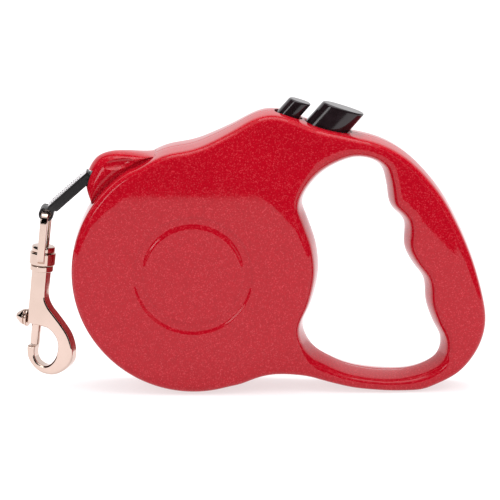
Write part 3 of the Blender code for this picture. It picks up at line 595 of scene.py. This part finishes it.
def oval_prism(name, top, length, breadth, levels, sides=96):
    """An oval prism along the buttons' travel; each level is (inset, depth below the top)."""
    slope = Vector((math.cos(BUTTON_SLOPE), 0, math.sin(BUTTON_SLOPE)))
    travel = Vector((math.cos(BUTTON_DIRECTION), 0, math.sin(BUTTON_DIRECTION)))
    turn = Matrix((slope, (0, 1, 0), travel)).transposed().to_4x4()
    matrix = SPOOL_MM @ Matrix.Translation((top[0], 0, top[1])) @ turn
    angles = 2 * math.pi * np.arange(sides) / sides
    across, along = np.cos(angles), np.sin(angles)
    across = np.sign(across) * np.abs(across) ** OVAL_POWER
    along = np.sign(along) * np.abs(along) ** OVAL_POWER
    rings = []
    for inset, depth in levels:
        ring = np.column_stack([across * (length / 2 - inset), along * (breadth / 2 - inset)])
        rings.append(np.column_stack([ring, np.full(sides, -depth)]))
    verts, faces = stitched(rings)
    faces.append(tuple(range(sides)))
    faces.append(tuple(len(verts) - sides + i for i in range(sides)))
    return mesh_object(name, verts, faces, matrix)


def nozzle_window(name, gap):
    """The nozzle's side view, filled from the drum's wall outwards."""
    contour = catmull_rom(NOZZLE_POINTS, False)
    start = math.atan2(contour[-1][1], contour[-1][0])
    end = math.atan2(contour[0][1], contour[0][0])
    angles = np.linspace(start, end, 40)
    base = (NOZZLE_BASE - 1.0) * np.column_stack([np.cos(angles), np.sin(angles)])
    loop = even(np.vstack([contour, base]), 1.2, True)
    loop = loop + normals_of(loop) * gap
    half = math.sqrt(1 - NOZZLE_WAIST**2) * NOZZLE_HALF + gap
    return flat_shape(name, [loop], -half, half, SPOOL_MM)


def cut_shell(made, name, side):
    """Opens a half shell for the buttons and the nozzle, and seats the screws in the rear one."""
    along_y = Matrix.Rotation(-math.pi / 2, 4, "X")
    cutters = [nozzle_window(name + "_window", WINDOW_GAP)]
    slot = [(-BUTTON_GAP, SLOT_DEPTH), (-BUTTON_GAP, BUTTON_ABOVE)]
    flare = [(-BUTTON_GAP, SEAT_DEPTH), (-SEAT_FLARE, SEAT_DEPTH - 1.0), (-SEAT_FLARE, BUTTON_ABOVE)]
    for label, (top, length, breadth) in BUTTONS.items():
        cutters.append(oval_prism(f"{name}_{label}_slot", top, length, breadth, slot))
        cutters.append(oval_prism(f"{name}_{label}_flare", top, length, breadth, flare))
    if side < 0:
        cutters += rim_ribs(name)
        return combine(made, "DIFFERENCE", cutters)
    bosses = []
    for index, (x, z) in enumerate(SCREW_PLACES):
        place = SPOOL_MM @ Matrix.Translation((x, 0, z)) @ along_y
        bosses.append(rod(f"{name}_boss_{index}", BOSS_RADIUS, *BOSS_FACES, place))
        cutters.append(rod(f"{name}_seat_{index}", SCREW_SEAT_RADIUS, SCREW_SEAT_Y, OUTSIDE, place))
        cutters.append(rod(f"{name}_hole_{index}", SCREW_HOLE_RADIUS, -1.0, OUTSIDE, place, 24))
    middle = SPOOL_MM @ along_y
    cutters.append(rod(name + "_axle_seat", SCREW_SEAT_RADIUS, AXLE_SEAT_Y, OUTSIDE, middle))
    combine(made, "UNION", bosses)
    return combine(made, "DIFFERENCE", cutters)


def rim_ribs(name):
    """Fine ribs across the drum's rim beside the nozzle."""
    ribs = []
    for index in range(RIB_COUNT):
        angle = math.radians(RIB_START + RIB_PITCH * index)
        turn = Matrix.Rotation(-angle, 4, "Y")
        place = SPOOL_MM @ turn @ Matrix.Translation((DRUM_RADIUS, RIB_Y, 0))
        ribs.append(box_mesh(f"{name}_rib_{index}", RIB_SIZE, place))
    return ribs


def nozzle_rings(top):
    """(radii, y) of each line along the nozzle: an oval over the drum that ends in straight walls."""
    half_height = np.maximum(top - DRUM_RADIUS, 0.4) / (1 + NOZZLE_WAIST)
    middle = top - half_height
    rings = []
    for turn in np.linspace(0, math.pi, 49):
        rings.append((middle + half_height * math.sin(turn), -NOZZLE_HALF * math.cos(turn)))
    for turn in np.linspace(0, -0.97 * math.asin(NOZZLE_WAIST), 9)[1:]:
        radius = middle + half_height * math.sin(turn)
        rings.append((radius, NOZZLE_HALF * math.cos(turn)))
        rings.insert(0, (radius, -NOZZLE_HALF * math.cos(turn)))
    waist = math.sqrt(1 - NOZZLE_WAIST**2) * NOZZLE_HALF
    below = middle - half_height * NOZZLE_WAIST
    floor = np.full(len(top), NOZZLE_BASE - 0.8)
    rings = [(floor, -waist), (below, -waist), *rings, (below, waist), (floor, waist)]
    return [(np.maximum(radius, floor), y) for radius, y in rings]


def nozzle():
    """A rounded tube that leaves the drum, with a scoop in its front and the tape's channel."""
    contour = even(catmull_rom(NOZZLE_POINTS, False), 0.35, False)
    angles = np.arctan2(contour[:, 1], contour[:, 0])
    top = np.maximum(np.linalg.norm(contour, axis=1), NOZZLE_BASE + 0.8)
    count = len(angles)
    stack = []
    for radius, y in nozzle_rings(top):
        x, z = radius * np.cos(angles), radius * np.sin(angles)
        stack.append(np.column_stack([x, np.full(count, y), z]))
    verts = np.vstack(stack)
    faces = []
    levels = len(stack)
    for level in range(levels):
        base, above = level * count, (level + 1) % levels * count
        faces += [(base + i, base + i + 1, above + i + 1, above + i) for i in range(count - 1)]
    faces.append(tuple(level * count for level in range(levels)))
    faces.append(tuple(level * count + count - 1 for level in reversed(range(levels))))
    made = mesh_object("nozzle_looks", verts, faces, SPOOL_MM)
    channel = flat_shape("nozzle_channel", [CHANNEL_POINTS], -CHANNEL_HALF, CHANNEL_HALF, SPOOL_MM)
    scoop_turn = Matrix.Rotation(SCOOP_PITCH, 4, "Y") @ Matrix.Rotation(SCOOP_YAW, 4, "Z")
    scoop_place = SPOOL_MM @ Matrix.Translation(SCOOP_MIDDLE) @ scoop_turn
    half_circle = [(math.sin(a), -math.cos(a)) for a in np.linspace(0, math.pi, 41)]
    scoop = turned("nozzle_scoop", half_circle, scoop_place @ Matrix.Diagonal((*SCOOP_RADII, 1.0)), 128)
    return even_shading(combine(made, "DIFFERENCE", [channel, scoop]))


def button(label):
    top, length, breadth = BUTTONS[label]
    levels = [(0.0, BUTTON_LONG), (0.0, 0.9), (0.03, 0.62), (0.12, 0.36), (0.28, 0.14), (0.5, 0.03)]
    levels += [(0.8, 0.0), (1.6, 0.0), (2.6, 0.0)]
    return even_shading(oval_prism(f"{label}_button_looks", top, length, breadth, levels))


# The tape and the snap.

BAR = Vector(JOINTS["eye_swing"]["pos_m"])
EYE_MM = frame_matrix(BAR, EYE_TURN, SNAP_LEAN)
SNAP_MM = frame_matrix(BAR, SNAP_TURN, SNAP_LEAN)


def tape_frame():
    """A frame in millimetres at the nozzle's mouth with x along the outgoing tape."""
    out = Vector((math.cos(TAPE_EXIT), 0, math.sin(TAPE_EXIT)))
    up = Vector((math.sin(TAPE_EXIT), 0, -math.cos(TAPE_EXIT)))
    turn = Matrix((out, Vector((0, 1, 0)), up)).transposed().to_4x4()
    return SPOOL_MM @ Matrix.Translation((TAPE_MOUTH[0], 0, TAPE_MOUTH[1])) @ turn


TAPE_MM = tape_frame()


def arc_points(middle, radius, angles):
    """Points (x, z) on a circle at angles in degrees."""
    return [(middle.x + radius * math.cos(a), middle.z + radius * math.sin(a)) for a in np.radians(angles)]


def tape_end():
    """The sewn end with its fold round the eye's bar, seen edge on in the tape's frame."""
    bar = TAPE_MM.inverted() @ BAR
    half = SEWN_THICK / 2
    cap = arc_points(bar, LOOP_OUTER, np.linspace(110, -120, 33))
    upper = [(SEWN_START, half, 0.4), (SEWN_END - 0.6, half, 0.8), (SEWN_END + 1.2, half - 0.5, 0.6)]
    lower = [(SEWN_END - 0.2, -half + 1.1, 0.5), (SEWN_END - 0.9, -half, 0.5), (SEWN_START, -half, 0.4)]
    upper = rounded([*upper, (*cap[0], 0)], False)
    lower = rounded([(*cap[-1], 0), *lower], False)
    outline = np.vstack([upper, cap[1:-1], lower])
    hole = arc_points(bar, LOOP_INNER, np.arange(0, 360, 8))
    made = flat_shape("tape_end_looks", [outline, hole], -TAPE_HALF, TAPE_HALF, TAPE_MM, 0.25, 2)
    slit = (SEWN_END - SEWN_START - 2.0, 0.4, 0.1)
    slits = []
    for y in (-TAPE_HALF, TAPE_HALF):
        for z in FOLD_HEIGHTS:
            place = TAPE_MM @ Matrix.Translation(((SEWN_START + SEWN_END) / 2 - 0.5, y, z))
            slits.append(box_mesh(f"tape_fold_{y}_{z}", slit, place))
    return combine(made, "DIFFERENCE", slits)


def tape_stripe():
    """A thin pale band over the outer face of the sewn end: painted sheen, pale grey standing in for the
    backdrop's grazing reflection on the black tape.
    """
    low, high, edge = SEWN_START + 0.3, SEWN_END + 0.4, BAND_THICK / 2
    corners = [(low, 0, 0), (high, 0, 0), (high, BAND_THICK, edge), (low, BAND_THICK, edge)]
    outline = rounded(corners, True, 3) + (0, SEWN_THICK / 2)
    half = TAPE_HALF - BAND_MARGIN
    return flat_shape("tape_stripe", [outline], -half, half, TAPE_MM)


def tape_neck():
    """The plain tape between the nozzle's channel and the sewn end."""
    rows = []
    section = strip_section(NECK_HALF, NECK_THICK / 2, 0.3, 3)
    for x in np.linspace(NECK_START, SEWN_START + 1.0, 9):
        rows.append(np.column_stack([np.full(len(section), x), section]))
    verts, faces = stitched(rows)
    count = len(section)
    faces += [tuple(range(count)), tuple(len(verts) - count + i for i in range(count))]
    return mesh_object("tape_neck", verts, faces, TAPE_MM)


def stitches():
    """Two rows of lockstitch over the sewn end's outer face."""
    verts, faces = [], []
    angles = np.radians(np.arange(0, 360, 60))
    section = [(THREAD_RADIUS * math.cos(a), THREAD_RADIUS * math.sin(a)) for a in angles]
    for row in STITCH_ROWS:
        for index in range(STITCH_COUNT):
            rings = []
            for part in np.linspace(-1, 1, 7):
                x = STITCH_START + STITCH_PITCH * index + STITCH_HALF * part
                z = SEWN_THICK / 2 + 0.18 * math.sqrt(max(1 - part * part, 0)) + 0.02
                size = 0.35 + 0.65 * (1 - part * part)
                rings.append([(x, row + a * size, z + b * size) for a, b in section])
            more, more_faces = stitched([np.array(r) for r in rings])
            more_faces += [tuple(range(6)), tuple(len(more) - 6 + i for i in range(6))]
            faces += [tuple(i + len(verts) for i in face) for face in more_faces]
            verts += [tuple(v) for v in more]
    return mesh_object("tape_stitches", verts, faces, TAPE_MM)


def strap_eye():
    """A flat strap bent into a closed eye across the case, on a round hub."""
    half = EYE_HALF_WIDTH - STRAP_THICK / 2
    path = rounded(
        [(half, 0, 3.0), (-half, 0, 3.0), (-half, -EYE_DROP, 4.6), (half, -EYE_DROP, 4.6)], True, 13
    )
    path = even(path, 0.5, True)
    normal = normals_of(path)
    section = strip_section(STRAP_WIDE / 2, STRAP_THICK / 2, STRAP_ROUNDING, 5)
    rings = []
    for (y, z), (ny, nz) in zip(path, normal):
        rings.append(np.array([(a, y + b * ny, z + b * nz) for a, b in section]))
    verts, faces = stitched(rings + rings[:1])
    strap = mesh_object("eye_looks", verts, faces, EYE_MM)
    hub = turned("eye_hub", rounded_disc(HUB_RADIUS, -HUB_BOTTOM, -HUB_TOP, 0.6), EYE_MM)
    combine(strap, "UNION", [hub])
    hole = rod("eye_hole", HUB_BORE_RADIUS, -23.5, -15.0, EYE_MM)
    return even_shading(combine(strap, "DIFFERENCE", [hole]))


def rounded_disc(radius, low, high, fillet):
    """The profile of a disc with rounded rims."""
    return rounded([(0, low, 0), (radius, low, fillet), (radius, high, fillet), (0, high, 0)], False)


def rivet():
    """The pin through the eye's hub, with its round head above."""
    pin = [(0, -RIVET_END, 0), (RIVET_RADIUS, -RIVET_END, 0.3), (RIVET_RADIUS, -RIVET_HEAD_BOTTOM, 0)]
    head = [(RIVET_HEAD_RADIUS, -RIVET_HEAD_BOTTOM, 0.3), (RIVET_HEAD_RADIUS, -RIVET_TOP, 0.9)]
    return turned("rivet_looks", rounded([*pin, *head, (0, -RIVET_TOP, 0)], False), SNAP_MM)


def snap_body():
    """The shank and hook, with the bolt's bore and the thumb knob's slot."""
    outer = catmull_rom(SNAP_OUTER, False, 6)
    inner = catmull_rom(SNAP_INNER, False, 6)
    top = [(-SHANK_HALF, SHANK_TOP), (SHANK_HALF, SHANK_TOP)]
    bottom = [(1.4, SHANK_BOTTOM), (-SHANK_HALF, SHANK_BOTTOM)]
    outline = np.vstack([top, outer, inner, bottom]) * (1, -1)
    body = flat_shape("snap_looks", [outline], -SNAP_HALF, SNAP_HALF, SNAP_MM, SNAP_BEVEL, 5)
    flange_profile = rounded_disc(FLANGE_RADIUS, -FLANGE_BOTTOM, -FLANGE_TOP, 0.4)
    combine(body, "UNION", [turned("snap_flange", flange_profile, SNAP_MM)])
    slot = box_mesh("snap_slot", SLOT_SIZE, SNAP_MM @ Matrix.Translation(SLOT_MIDDLE))
    cutters = [
        rod("snap_rivet_hole", RIVET_BORE_RADIUS, -23.8, -20.0, SNAP_MM),
        rod("snap_bore", BOLT_RADIUS + BORE_CLEARANCE, -BORE_BOTTOM, -BORE_TOP, SNAP_MM),
        slot,
    ]
    return even_shading(combine(body, "DIFFERENCE", cutters))


def snap_bolt():
    tip = [(0, -BOLT_TIP, 0), (BOLT_RADIUS, -BOLT_TIP, 0.6)]
    top = [(BOLT_RADIUS, -BOLT_TOP, 0.2), (0, -BOLT_TOP, 0)]
    return turned("bolt_looks", rounded(tip + top, False), SNAP_MM)


def thumb_knob():
    """A stem out of the bolt with a disc and a pointed knob, turned about the knob's own axis."""
    profile = rounded(
        [
            (0, 0.4, 0), (0.75, 0.4, 0), (0.75, 3.7, 0), (3.7, 3.7, 0.3), (3.7, 4.6, 0.3),
            (2.6, 4.75, 0.2), (2.6, 5.1, 0.15), (3.4, 5.2, 0.3), (3.2, 6.4, 0.5), (1.3, 9.1, 0.9),
            (0, 9.25, 0),
        ],
        False,
    )
    left = Matrix.Translation((0, 0, -KNOB_DROP)) @ Matrix.Rotation(-math.pi / 2, 4, "Y")
    return turned("knob_looks", profile, SNAP_MM @ left)


def replace_with(obj, body, slot, *nodes):
    """The piece rides on the body and stands for the CAD nodes, which are hidden. The slot is not used."""
    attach(obj, body)
    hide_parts(*nodes)


# Materials.

class Nodes:
    """A short way to write a node tree."""

    def __init__(self, name):
        self.material = bpy.data.materials.new(name)
        self.material.use_nodes = True
        self.tree = self.material.node_tree
        self.shader = self.tree.nodes["Principled BSDF"]

    def add(self, kind, links=None, **settings):
        node = self.tree.nodes.new(kind)
        for key, value in settings.items():
            setattr(node, key, value)
        for socket, value in (links or {}).items():
            self.put(node.inputs[socket], value)
        return node

    def put(self, socket, value):
        if isinstance(value, bpy.types.NodeSocket):
            self.tree.links.new(value, socket)
        else:
            socket.default_value = value

    def place(self):
        return self.add("ShaderNodeTexCoord").outputs["Object"]

    def noise(self, scale, detail=2.0, vector=None):
        node = self.add("ShaderNodeTexNoise", {"Scale": scale, "Detail": detail})
        self.put(node.inputs["Vector"], vector or self.place())
        return node.outputs["Fac"]

    def ramp(self, value, *stops):
        """A colour ramp with (position, colour) stops."""
        node = self.add("ShaderNodeValToRGB", {"Fac": value})
        ramp = node.color_ramp
        while len(ramp.elements) < len(stops):
            ramp.elements.new(0.5)
        for element, (position, colour) in zip(ramp.elements, stops):
            element.position = position
            element.color = (*colour, 1.0)
        return node.outputs["Color"]

    def levels(self, value, low, high, to_low, to_high):
        links = {"Value": value, "From Min": low, "From Max": high, "To Min": to_low, "To Max": to_high}
        return self.add("ShaderNodeMapRange", links).outputs["Result"]

    def bump(self, height, distance, strength=1.0):
        links = {"Height": height, "Distance": distance, "Strength": strength}
        return self.add("ShaderNodeBump", links).outputs["Normal"]

    def set(self, **values):
        for name, value in values.items():
            self.put(self.shader.inputs[name.replace("_", " ")], value)
        return self.material


def red_plastic(name, base, dark, flake):
    """Gloss plastic with fine metallic flakes under the surface; the flakes' sparkle is painted into the
    base colour as bright red specks.
    """
    nodes = Nodes(name)
    where = nodes.place()
    cells = nodes.add("ShaderNodeTexVoronoi", {"Vector": where, "Scale": 2700.0}, feature="F1")
    sparkle = nodes.add("ShaderNodeSeparateColor", {"Color": cells.outputs["Color"]}).outputs["Red"]
    mottle = nodes.noise(900.0, 3.0, where)
    colour = nodes.ramp(mottle, (0.3, dark), (0.7, base))
    # Painted glint: the flake colour mixed into the base colour stands in for the sparkle of the real
    # flakes.
    flake_glint_mix = nodes.levels(sparkle, 0.75, 1.0, 0.0, 0.2)
    parts = {"Factor": flake_glint_mix, "A": colour, "B": (*flake, 1.0)}
    mixed = nodes.add("ShaderNodeMix", parts, data_type="RGBA")
    rough = nodes.levels(nodes.noise(60.0, 4.0, where), 0.3, 0.7, 0.03, 0.06)
    scratches = nodes.bump(nodes.noise(220.0, 3.0, where), 0.00001, 0.25)
    return nodes.set(
        Base_Color=mixed.outputs["Result"],
        Roughness=rough,
        IOR=1.38,
        Normal=scratches,
    )


RED = red_plastic("red_flake_plastic", (0.385, 0.0025, 0.011), (0.335, 0.002, 0.009), (1.0, 0.13, 0.16))


def black_plastic():
    nodes = Nodes("black_gloss_plastic")
    where = nodes.place()
    grain = nodes.noise(300.0, 3.0, where)
    tone = nodes.ramp(grain, (0.35, (0.009, 0.005, 0.006)), (0.65, (0.015, 0.009, 0.011)))
    rough = nodes.levels(nodes.noise(90.0, 4.0, where), 0.3, 0.7, 0.1, 0.15)
    return nodes.set(Base_Color=tone, Roughness=rough, IOR=1.5)


def plating():
    nodes = Nodes("rose_gold_plating")
    where = nodes.place()
    cloud = nodes.noise(70.0, 3.0, where)
    tone = nodes.ramp(cloud, (0.3, (0.6, 0.47, 0.4)), (0.7, (0.68, 0.53, 0.46)))
    rough = nodes.levels(nodes.noise(160.0, 5.0, where), 0.3, 0.7, 0.05, 0.12)
    dents = nodes.bump(nodes.noise(420.0, 3.0, where), 0.00001, 0.3)
    return nodes.set(Base_Color=tone, Metallic=1.0, Roughness=rough, Normal=dents)


def webbing():
    """Close-woven nylon tape, with threads along it and across it."""
    nodes = Nodes("black_webbing")
    where = nodes.place()
    turned_by = nodes.add("ShaderNodeMapping", {"Vector": where, "Rotation": (0.0, TAPE_EXIT, 0.0)})
    along = nodes.add("ShaderNodeTexWave", {"Vector": turned_by.outputs["Vector"], "Scale": 480.0})
    across = nodes.add("ShaderNodeTexWave", {"Vector": where, "Scale": 700.0}, bands_direction="Y")
    threads = {0: along.outputs["Fac"], 1: across.outputs["Fac"]}
    height = nodes.add("ShaderNodeMath", threads, operation="MULTIPLY").outputs["Value"]
    tone = nodes.ramp(height, (0.0, (0.004, 0.003, 0.0035)), (1.0, (0.015, 0.011, 0.013)))
    rough = nodes.levels(nodes.noise(500.0, 2.0, where), 0.3, 0.7, 0.32, 0.45)
    return nodes.set(Base_Color=tone, Roughness=rough, Normal=nodes.bump(height, 0.00006, 0.5))


def painted_sheen_band():
    """Painted sheen: pale grey colour standing in for the grazing reflection on the black tape, with fine
    bars across the band.
    """
    nodes = Nodes("painted_sheen_band")
    where = nodes.place()
    turned_by = nodes.add("ShaderNodeMapping", {"Vector": where, "Rotation": (0.0, TAPE_EXIT, 0.0)})
    bars = nodes.add("ShaderNodeTexWave", {"Vector": turned_by.outputs["Vector"], "Scale": 420.0})
    grain = nodes.noise(1500.0, 2.0, where)
    # The pale grey tone is painted sheen, not a colour of the tape.
    tone = nodes.ramp(grain, (0.35, (0.42, 0.40, 0.41)), (0.65, (0.62, 0.60, 0.61)))
    bump = nodes.bump(bars.outputs["Fac"], 0.00004, 0.4)
    return nodes.set(Base_Color=tone, Roughness=0.35, Normal=bump)


def thread():
    nodes = Nodes("black_thread")
    where = nodes.place()
    twist = nodes.add("ShaderNodeTexWave", {"Vector": where, "Scale": 1500.0}, bands_direction="DIAGONAL")
    tone = nodes.ramp(twist.outputs["Fac"], (0.0, (0.01, 0.009, 0.01)), (1.0, (0.05, 0.045, 0.048)))
    return nodes.set(Base_Color=tone, Roughness=0.5)


def metal(name, low, high, rough_low, rough_high):
    nodes = Nodes(name)
    where = nodes.place()
    grain = nodes.noise(900.0, 4.0, where)
    tone = nodes.ramp(grain, (0.3, low), (0.7, high))
    rough = nodes.levels(nodes.noise(250.0, 3.0, where), 0.3, 0.7, rough_low, rough_high)
    return nodes.set(Base_Color=tone, Metallic=1.0, Roughness=rough)


def matte_plastic(name, low, high):
    nodes = Nodes(name)
    where = nodes.place()
    tone = nodes.ramp(nodes.noise(120.0, 3.0, where), (0.3, low), (0.7, high))
    rough = nodes.levels(nodes.noise(400.0, 2.0, where), 0.3, 0.7, 0.42, 0.55)
    return nodes.set(Base_Color=tone, Roughness=rough)


def finish_nodes():
    """Materials for the CAD nodes that are shown as they are."""
    zinc = metal("zinc_screws", (0.50, 0.50, 0.52), (0.60, 0.60, 0.62), 0.25, 0.4)
    steel = metal("turned_steel", (0.45, 0.45, 0.47), (0.58, 0.58, 0.6), 0.2, 0.35)
    spring = metal("blued_spring_steel", (0.30, 0.30, 0.33), (0.42, 0.42, 0.46), 0.2, 0.3)
    white = matte_plastic("reel_plastic", (0.68, 0.68, 0.66), (0.76, 0.76, 0.74))
    grey = matte_plastic("acetal", (0.31, 0.31, 0.32), (0.37, 0.37, 0.38))
    tape = webbing()
    finishes = {
        zinc: ["case_screw_1", "case_screw_2", "case_screw_3", "case_screw_4", "axle_screw"],
        steel: ["spindle", "front_washer", "rear_washer"],
        spring: ["mainspring", "brake_spring", "lock_spring", "bolt_spring"],
        white: ["reel_drum", "toothed_flange", "spring_cover"],
        grey: ["brake_plunger", "lock_plunger"],
        tape: ["tape_winding", "tape_run"],
    }
    for material, names in finishes.items():
        for name in names:
            data = frame["nodes"][name].data
            data.materials.clear()
            data.materials.append(material)
    return tape


def painted(obj, material):
    obj.data.materials.clear()
    obj.data.materials.append(material)
    return obj


def leash():
    tape = finish_nodes()
    for node, side in (("front_shell", -1), ("rear_shell", 1)):
        replace_with(painted(shell(node + "_looks", side), RED), "case", "shell_red", node)
    replace_with(painted(nozzle(), RED), "case", "nozzle_red", "tape_nozzle")
    black = black_plastic()
    for label in BUTTONS:
        replace_with(painted(button(label), black), label, "button_black", label + "_button")
    end = painted(tape_end(), tape)
    replace_with(end, "tape", "tape_black", "sewn_tape_end", "tape_loop")
    sewing = painted(stitches(), thread())
    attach(sewing, "tape")
    # The pale band is painted sheen on the sewn end's outer face.
    band = painted(tape_stripe(), painted_sheen_band())
    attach(band, "tape")
    neck = painted(tape_neck(), tape)
    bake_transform(neck)
    gold = plating()
    replace_with(painted(strap_eye(), gold), "eye", "rose_gold", "swivel_eye")
    replace_with(painted(rivet(), gold), "snap", "rose_gold", "swivel_rivet")
    replace_with(painted(snap_body(), gold), "snap", "rose_gold", "snap_body")
    replace_with(painted(snap_bolt(), gold), "bolt", "rose_gold", "snap_bolt")
    replace_with(painted(thumb_knob(), gold), "bolt", "rose_gold", "thumb_knob")


# Camera, floor and light.

AIM = SPOOL + Vector((23.1, 0.0, 7.2)) * MM
CAMERA_DISTANCE = 1.1
CAMERA_RISE = math.radians(12.5)
FRAME_WIDTH = 0.205
SENSOR = 36.0
CLIP_END = 30.0
FLOOR_Z = -0.0006
FLOOR_GLOW = 0.66

# The black cards, seen only in glossy surfaces: middle, size and facing direction.
CARDS = {
    "table_end_card": ((0, -2.42, 0.001), (6.0, 4.0), (0, 0, 1)),
    "front_card": ((0, -2.2, 1.2), (3.0, 2.4), (0, 1, 0)),
    "side_card_0": ((-1.5, -0.5, 1.2), (2.4, 3.4), (1, 0, 0)),
    "side_card_2": ((1.5, -0.5, 1.2), (2.4, 3.4), (-1, 0, 0)),
    "upper_back_card": ((0, 0.8, 1.5), (4.0, 0.5), (0, 0, -1)),
}

# The lights: place, target, size, watts, and whether glossy surfaces show them.
LIGHTS = {
    "top_softbox": ((0.0, -0.1, 1.2), (0, 0, 0.03), (0.9, 0.7), 4.2, True),
    "left_softbox": ((-0.75, -0.87, 0.46), (0, 0, 0.06), (0.3, 0.45), 1.5, True),
    "overhead_fill": ((0.1, 0.35, 1.3), (0, 0, 0.05), (0.8, 0.5), 8.5, False),
    "right_key": ((0.32, -0.3, 0.5), (0.04, 0, 0.07), (0.25, 0.25), 0.8, False),
}


def camera():
    data = bpy.data.cameras.new("camera")
    data.sensor_width = SENSOR
    data.lens = SENSOR * CAMERA_DISTANCE / FRAME_WIDTH
    data.clip_end = CLIP_END
    obj = bpy.data.objects.new("camera", data)
    back = Vector((0.0, -math.cos(CAMERA_RISE), math.sin(CAMERA_RISE)))
    obj.location = AIM + back * CAMERA_DISTANCE
    obj.rotation_euler = (-back).to_track_quat("-Z", "Y").to_euler()
    bpy.context.scene.collection.objects.link(obj)
    bpy.context.scene.camera = obj


def plain(name, colour, emission=0.0):
    """A matte, slightly uneven finish for the studio, with a glow of its own if asked."""
    nodes = Nodes(name)
    grain = nodes.noise(35.0, 3.0)
    low = tuple(c * 0.99 for c in colour)
    nodes.set(Base_Color=nodes.ramp(grain, (0.4, low), (0.6, colour)), Roughness=0.6)
    nodes.set(Specular_IOR_Level=0.0)
    if emission:
        nodes.set(Emission_Color=(1.0, 1.0, 1.0, 1.0), Emission_Strength=emission)
    return nodes.material


def panel(name, centre, size, normal, material):
    """A flat rectangle facing a direction, as part of the studio."""
    mesh = bpy.data.meshes.new(name)
    work = bmesh.new()
    bmesh.ops.create_grid(work, x_segments=1, y_segments=1, size=0.5)
    turn = Vector(normal).to_track_quat("Z", "Y").to_matrix().to_4x4()
    matrix = Matrix.Translation(centre) @ turn @ Matrix.Diagonal((*size, 1.0, 1.0))
    bmesh.ops.transform(work, matrix=matrix, verts=work.verts)
    work.to_mesh(mesh)
    work.free()
    obj = bpy.data.objects.new(name, mesh)
    bpy.context.scene.collection.objects.link(obj)
    obj.data.materials.append(material)
    return obj


def reflected_only(obj):
    """Hides a studio panel from everything but glossy surfaces."""
    obj.visible_camera = False
    obj.visible_diffuse = False
    obj.visible_transmission = False
    obj.visible_shadow = False
    obj.visible_volume_scatter = False


def area_light(name, location, target, size, power, in_gloss):
    data = bpy.data.lights.new(name, "AREA")
    data.shape = "RECTANGLE"
    data.size, data.size_y = size
    data.energy = power
    obj = bpy.data.objects.new(name, data)
    obj.location = location
    obj.rotation_euler = (Vector(target) - Vector(location)).to_track_quat("-Z", "Y").to_euler()
    obj.visible_glossy = in_gloss
    bpy.context.scene.collection.objects.link(obj)


def studio():
    world = bpy.data.worlds.new("studio")
    world.use_nodes = True
    background = world.node_tree.nodes["Background"]
    background.inputs["Color"].default_value = (1.0, 0.99, 1.0, 1.0)
    background.inputs["Strength"].default_value = 1.0
    bpy.context.scene.world = world
    bpy.context.scene.view_settings.view_transform = "Standard"
    paper = plain("floor_paper", (0.42, 0.4, 0.41), FLOOR_GLOW)
    panel("floor", (0, 0, FLOOR_Z), (12.0, 12.0), (0, 0, 1), paper)
    black = plain("black_card", (0.0, 0.0, 0.0))
    for name, (centre, size, normal) in CARDS.items():
        reflected_only(panel(name, centre, size, normal, black))
    for name, settings in LIGHTS.items():
        area_light(name, *settings)


camera()
studio()
leash()
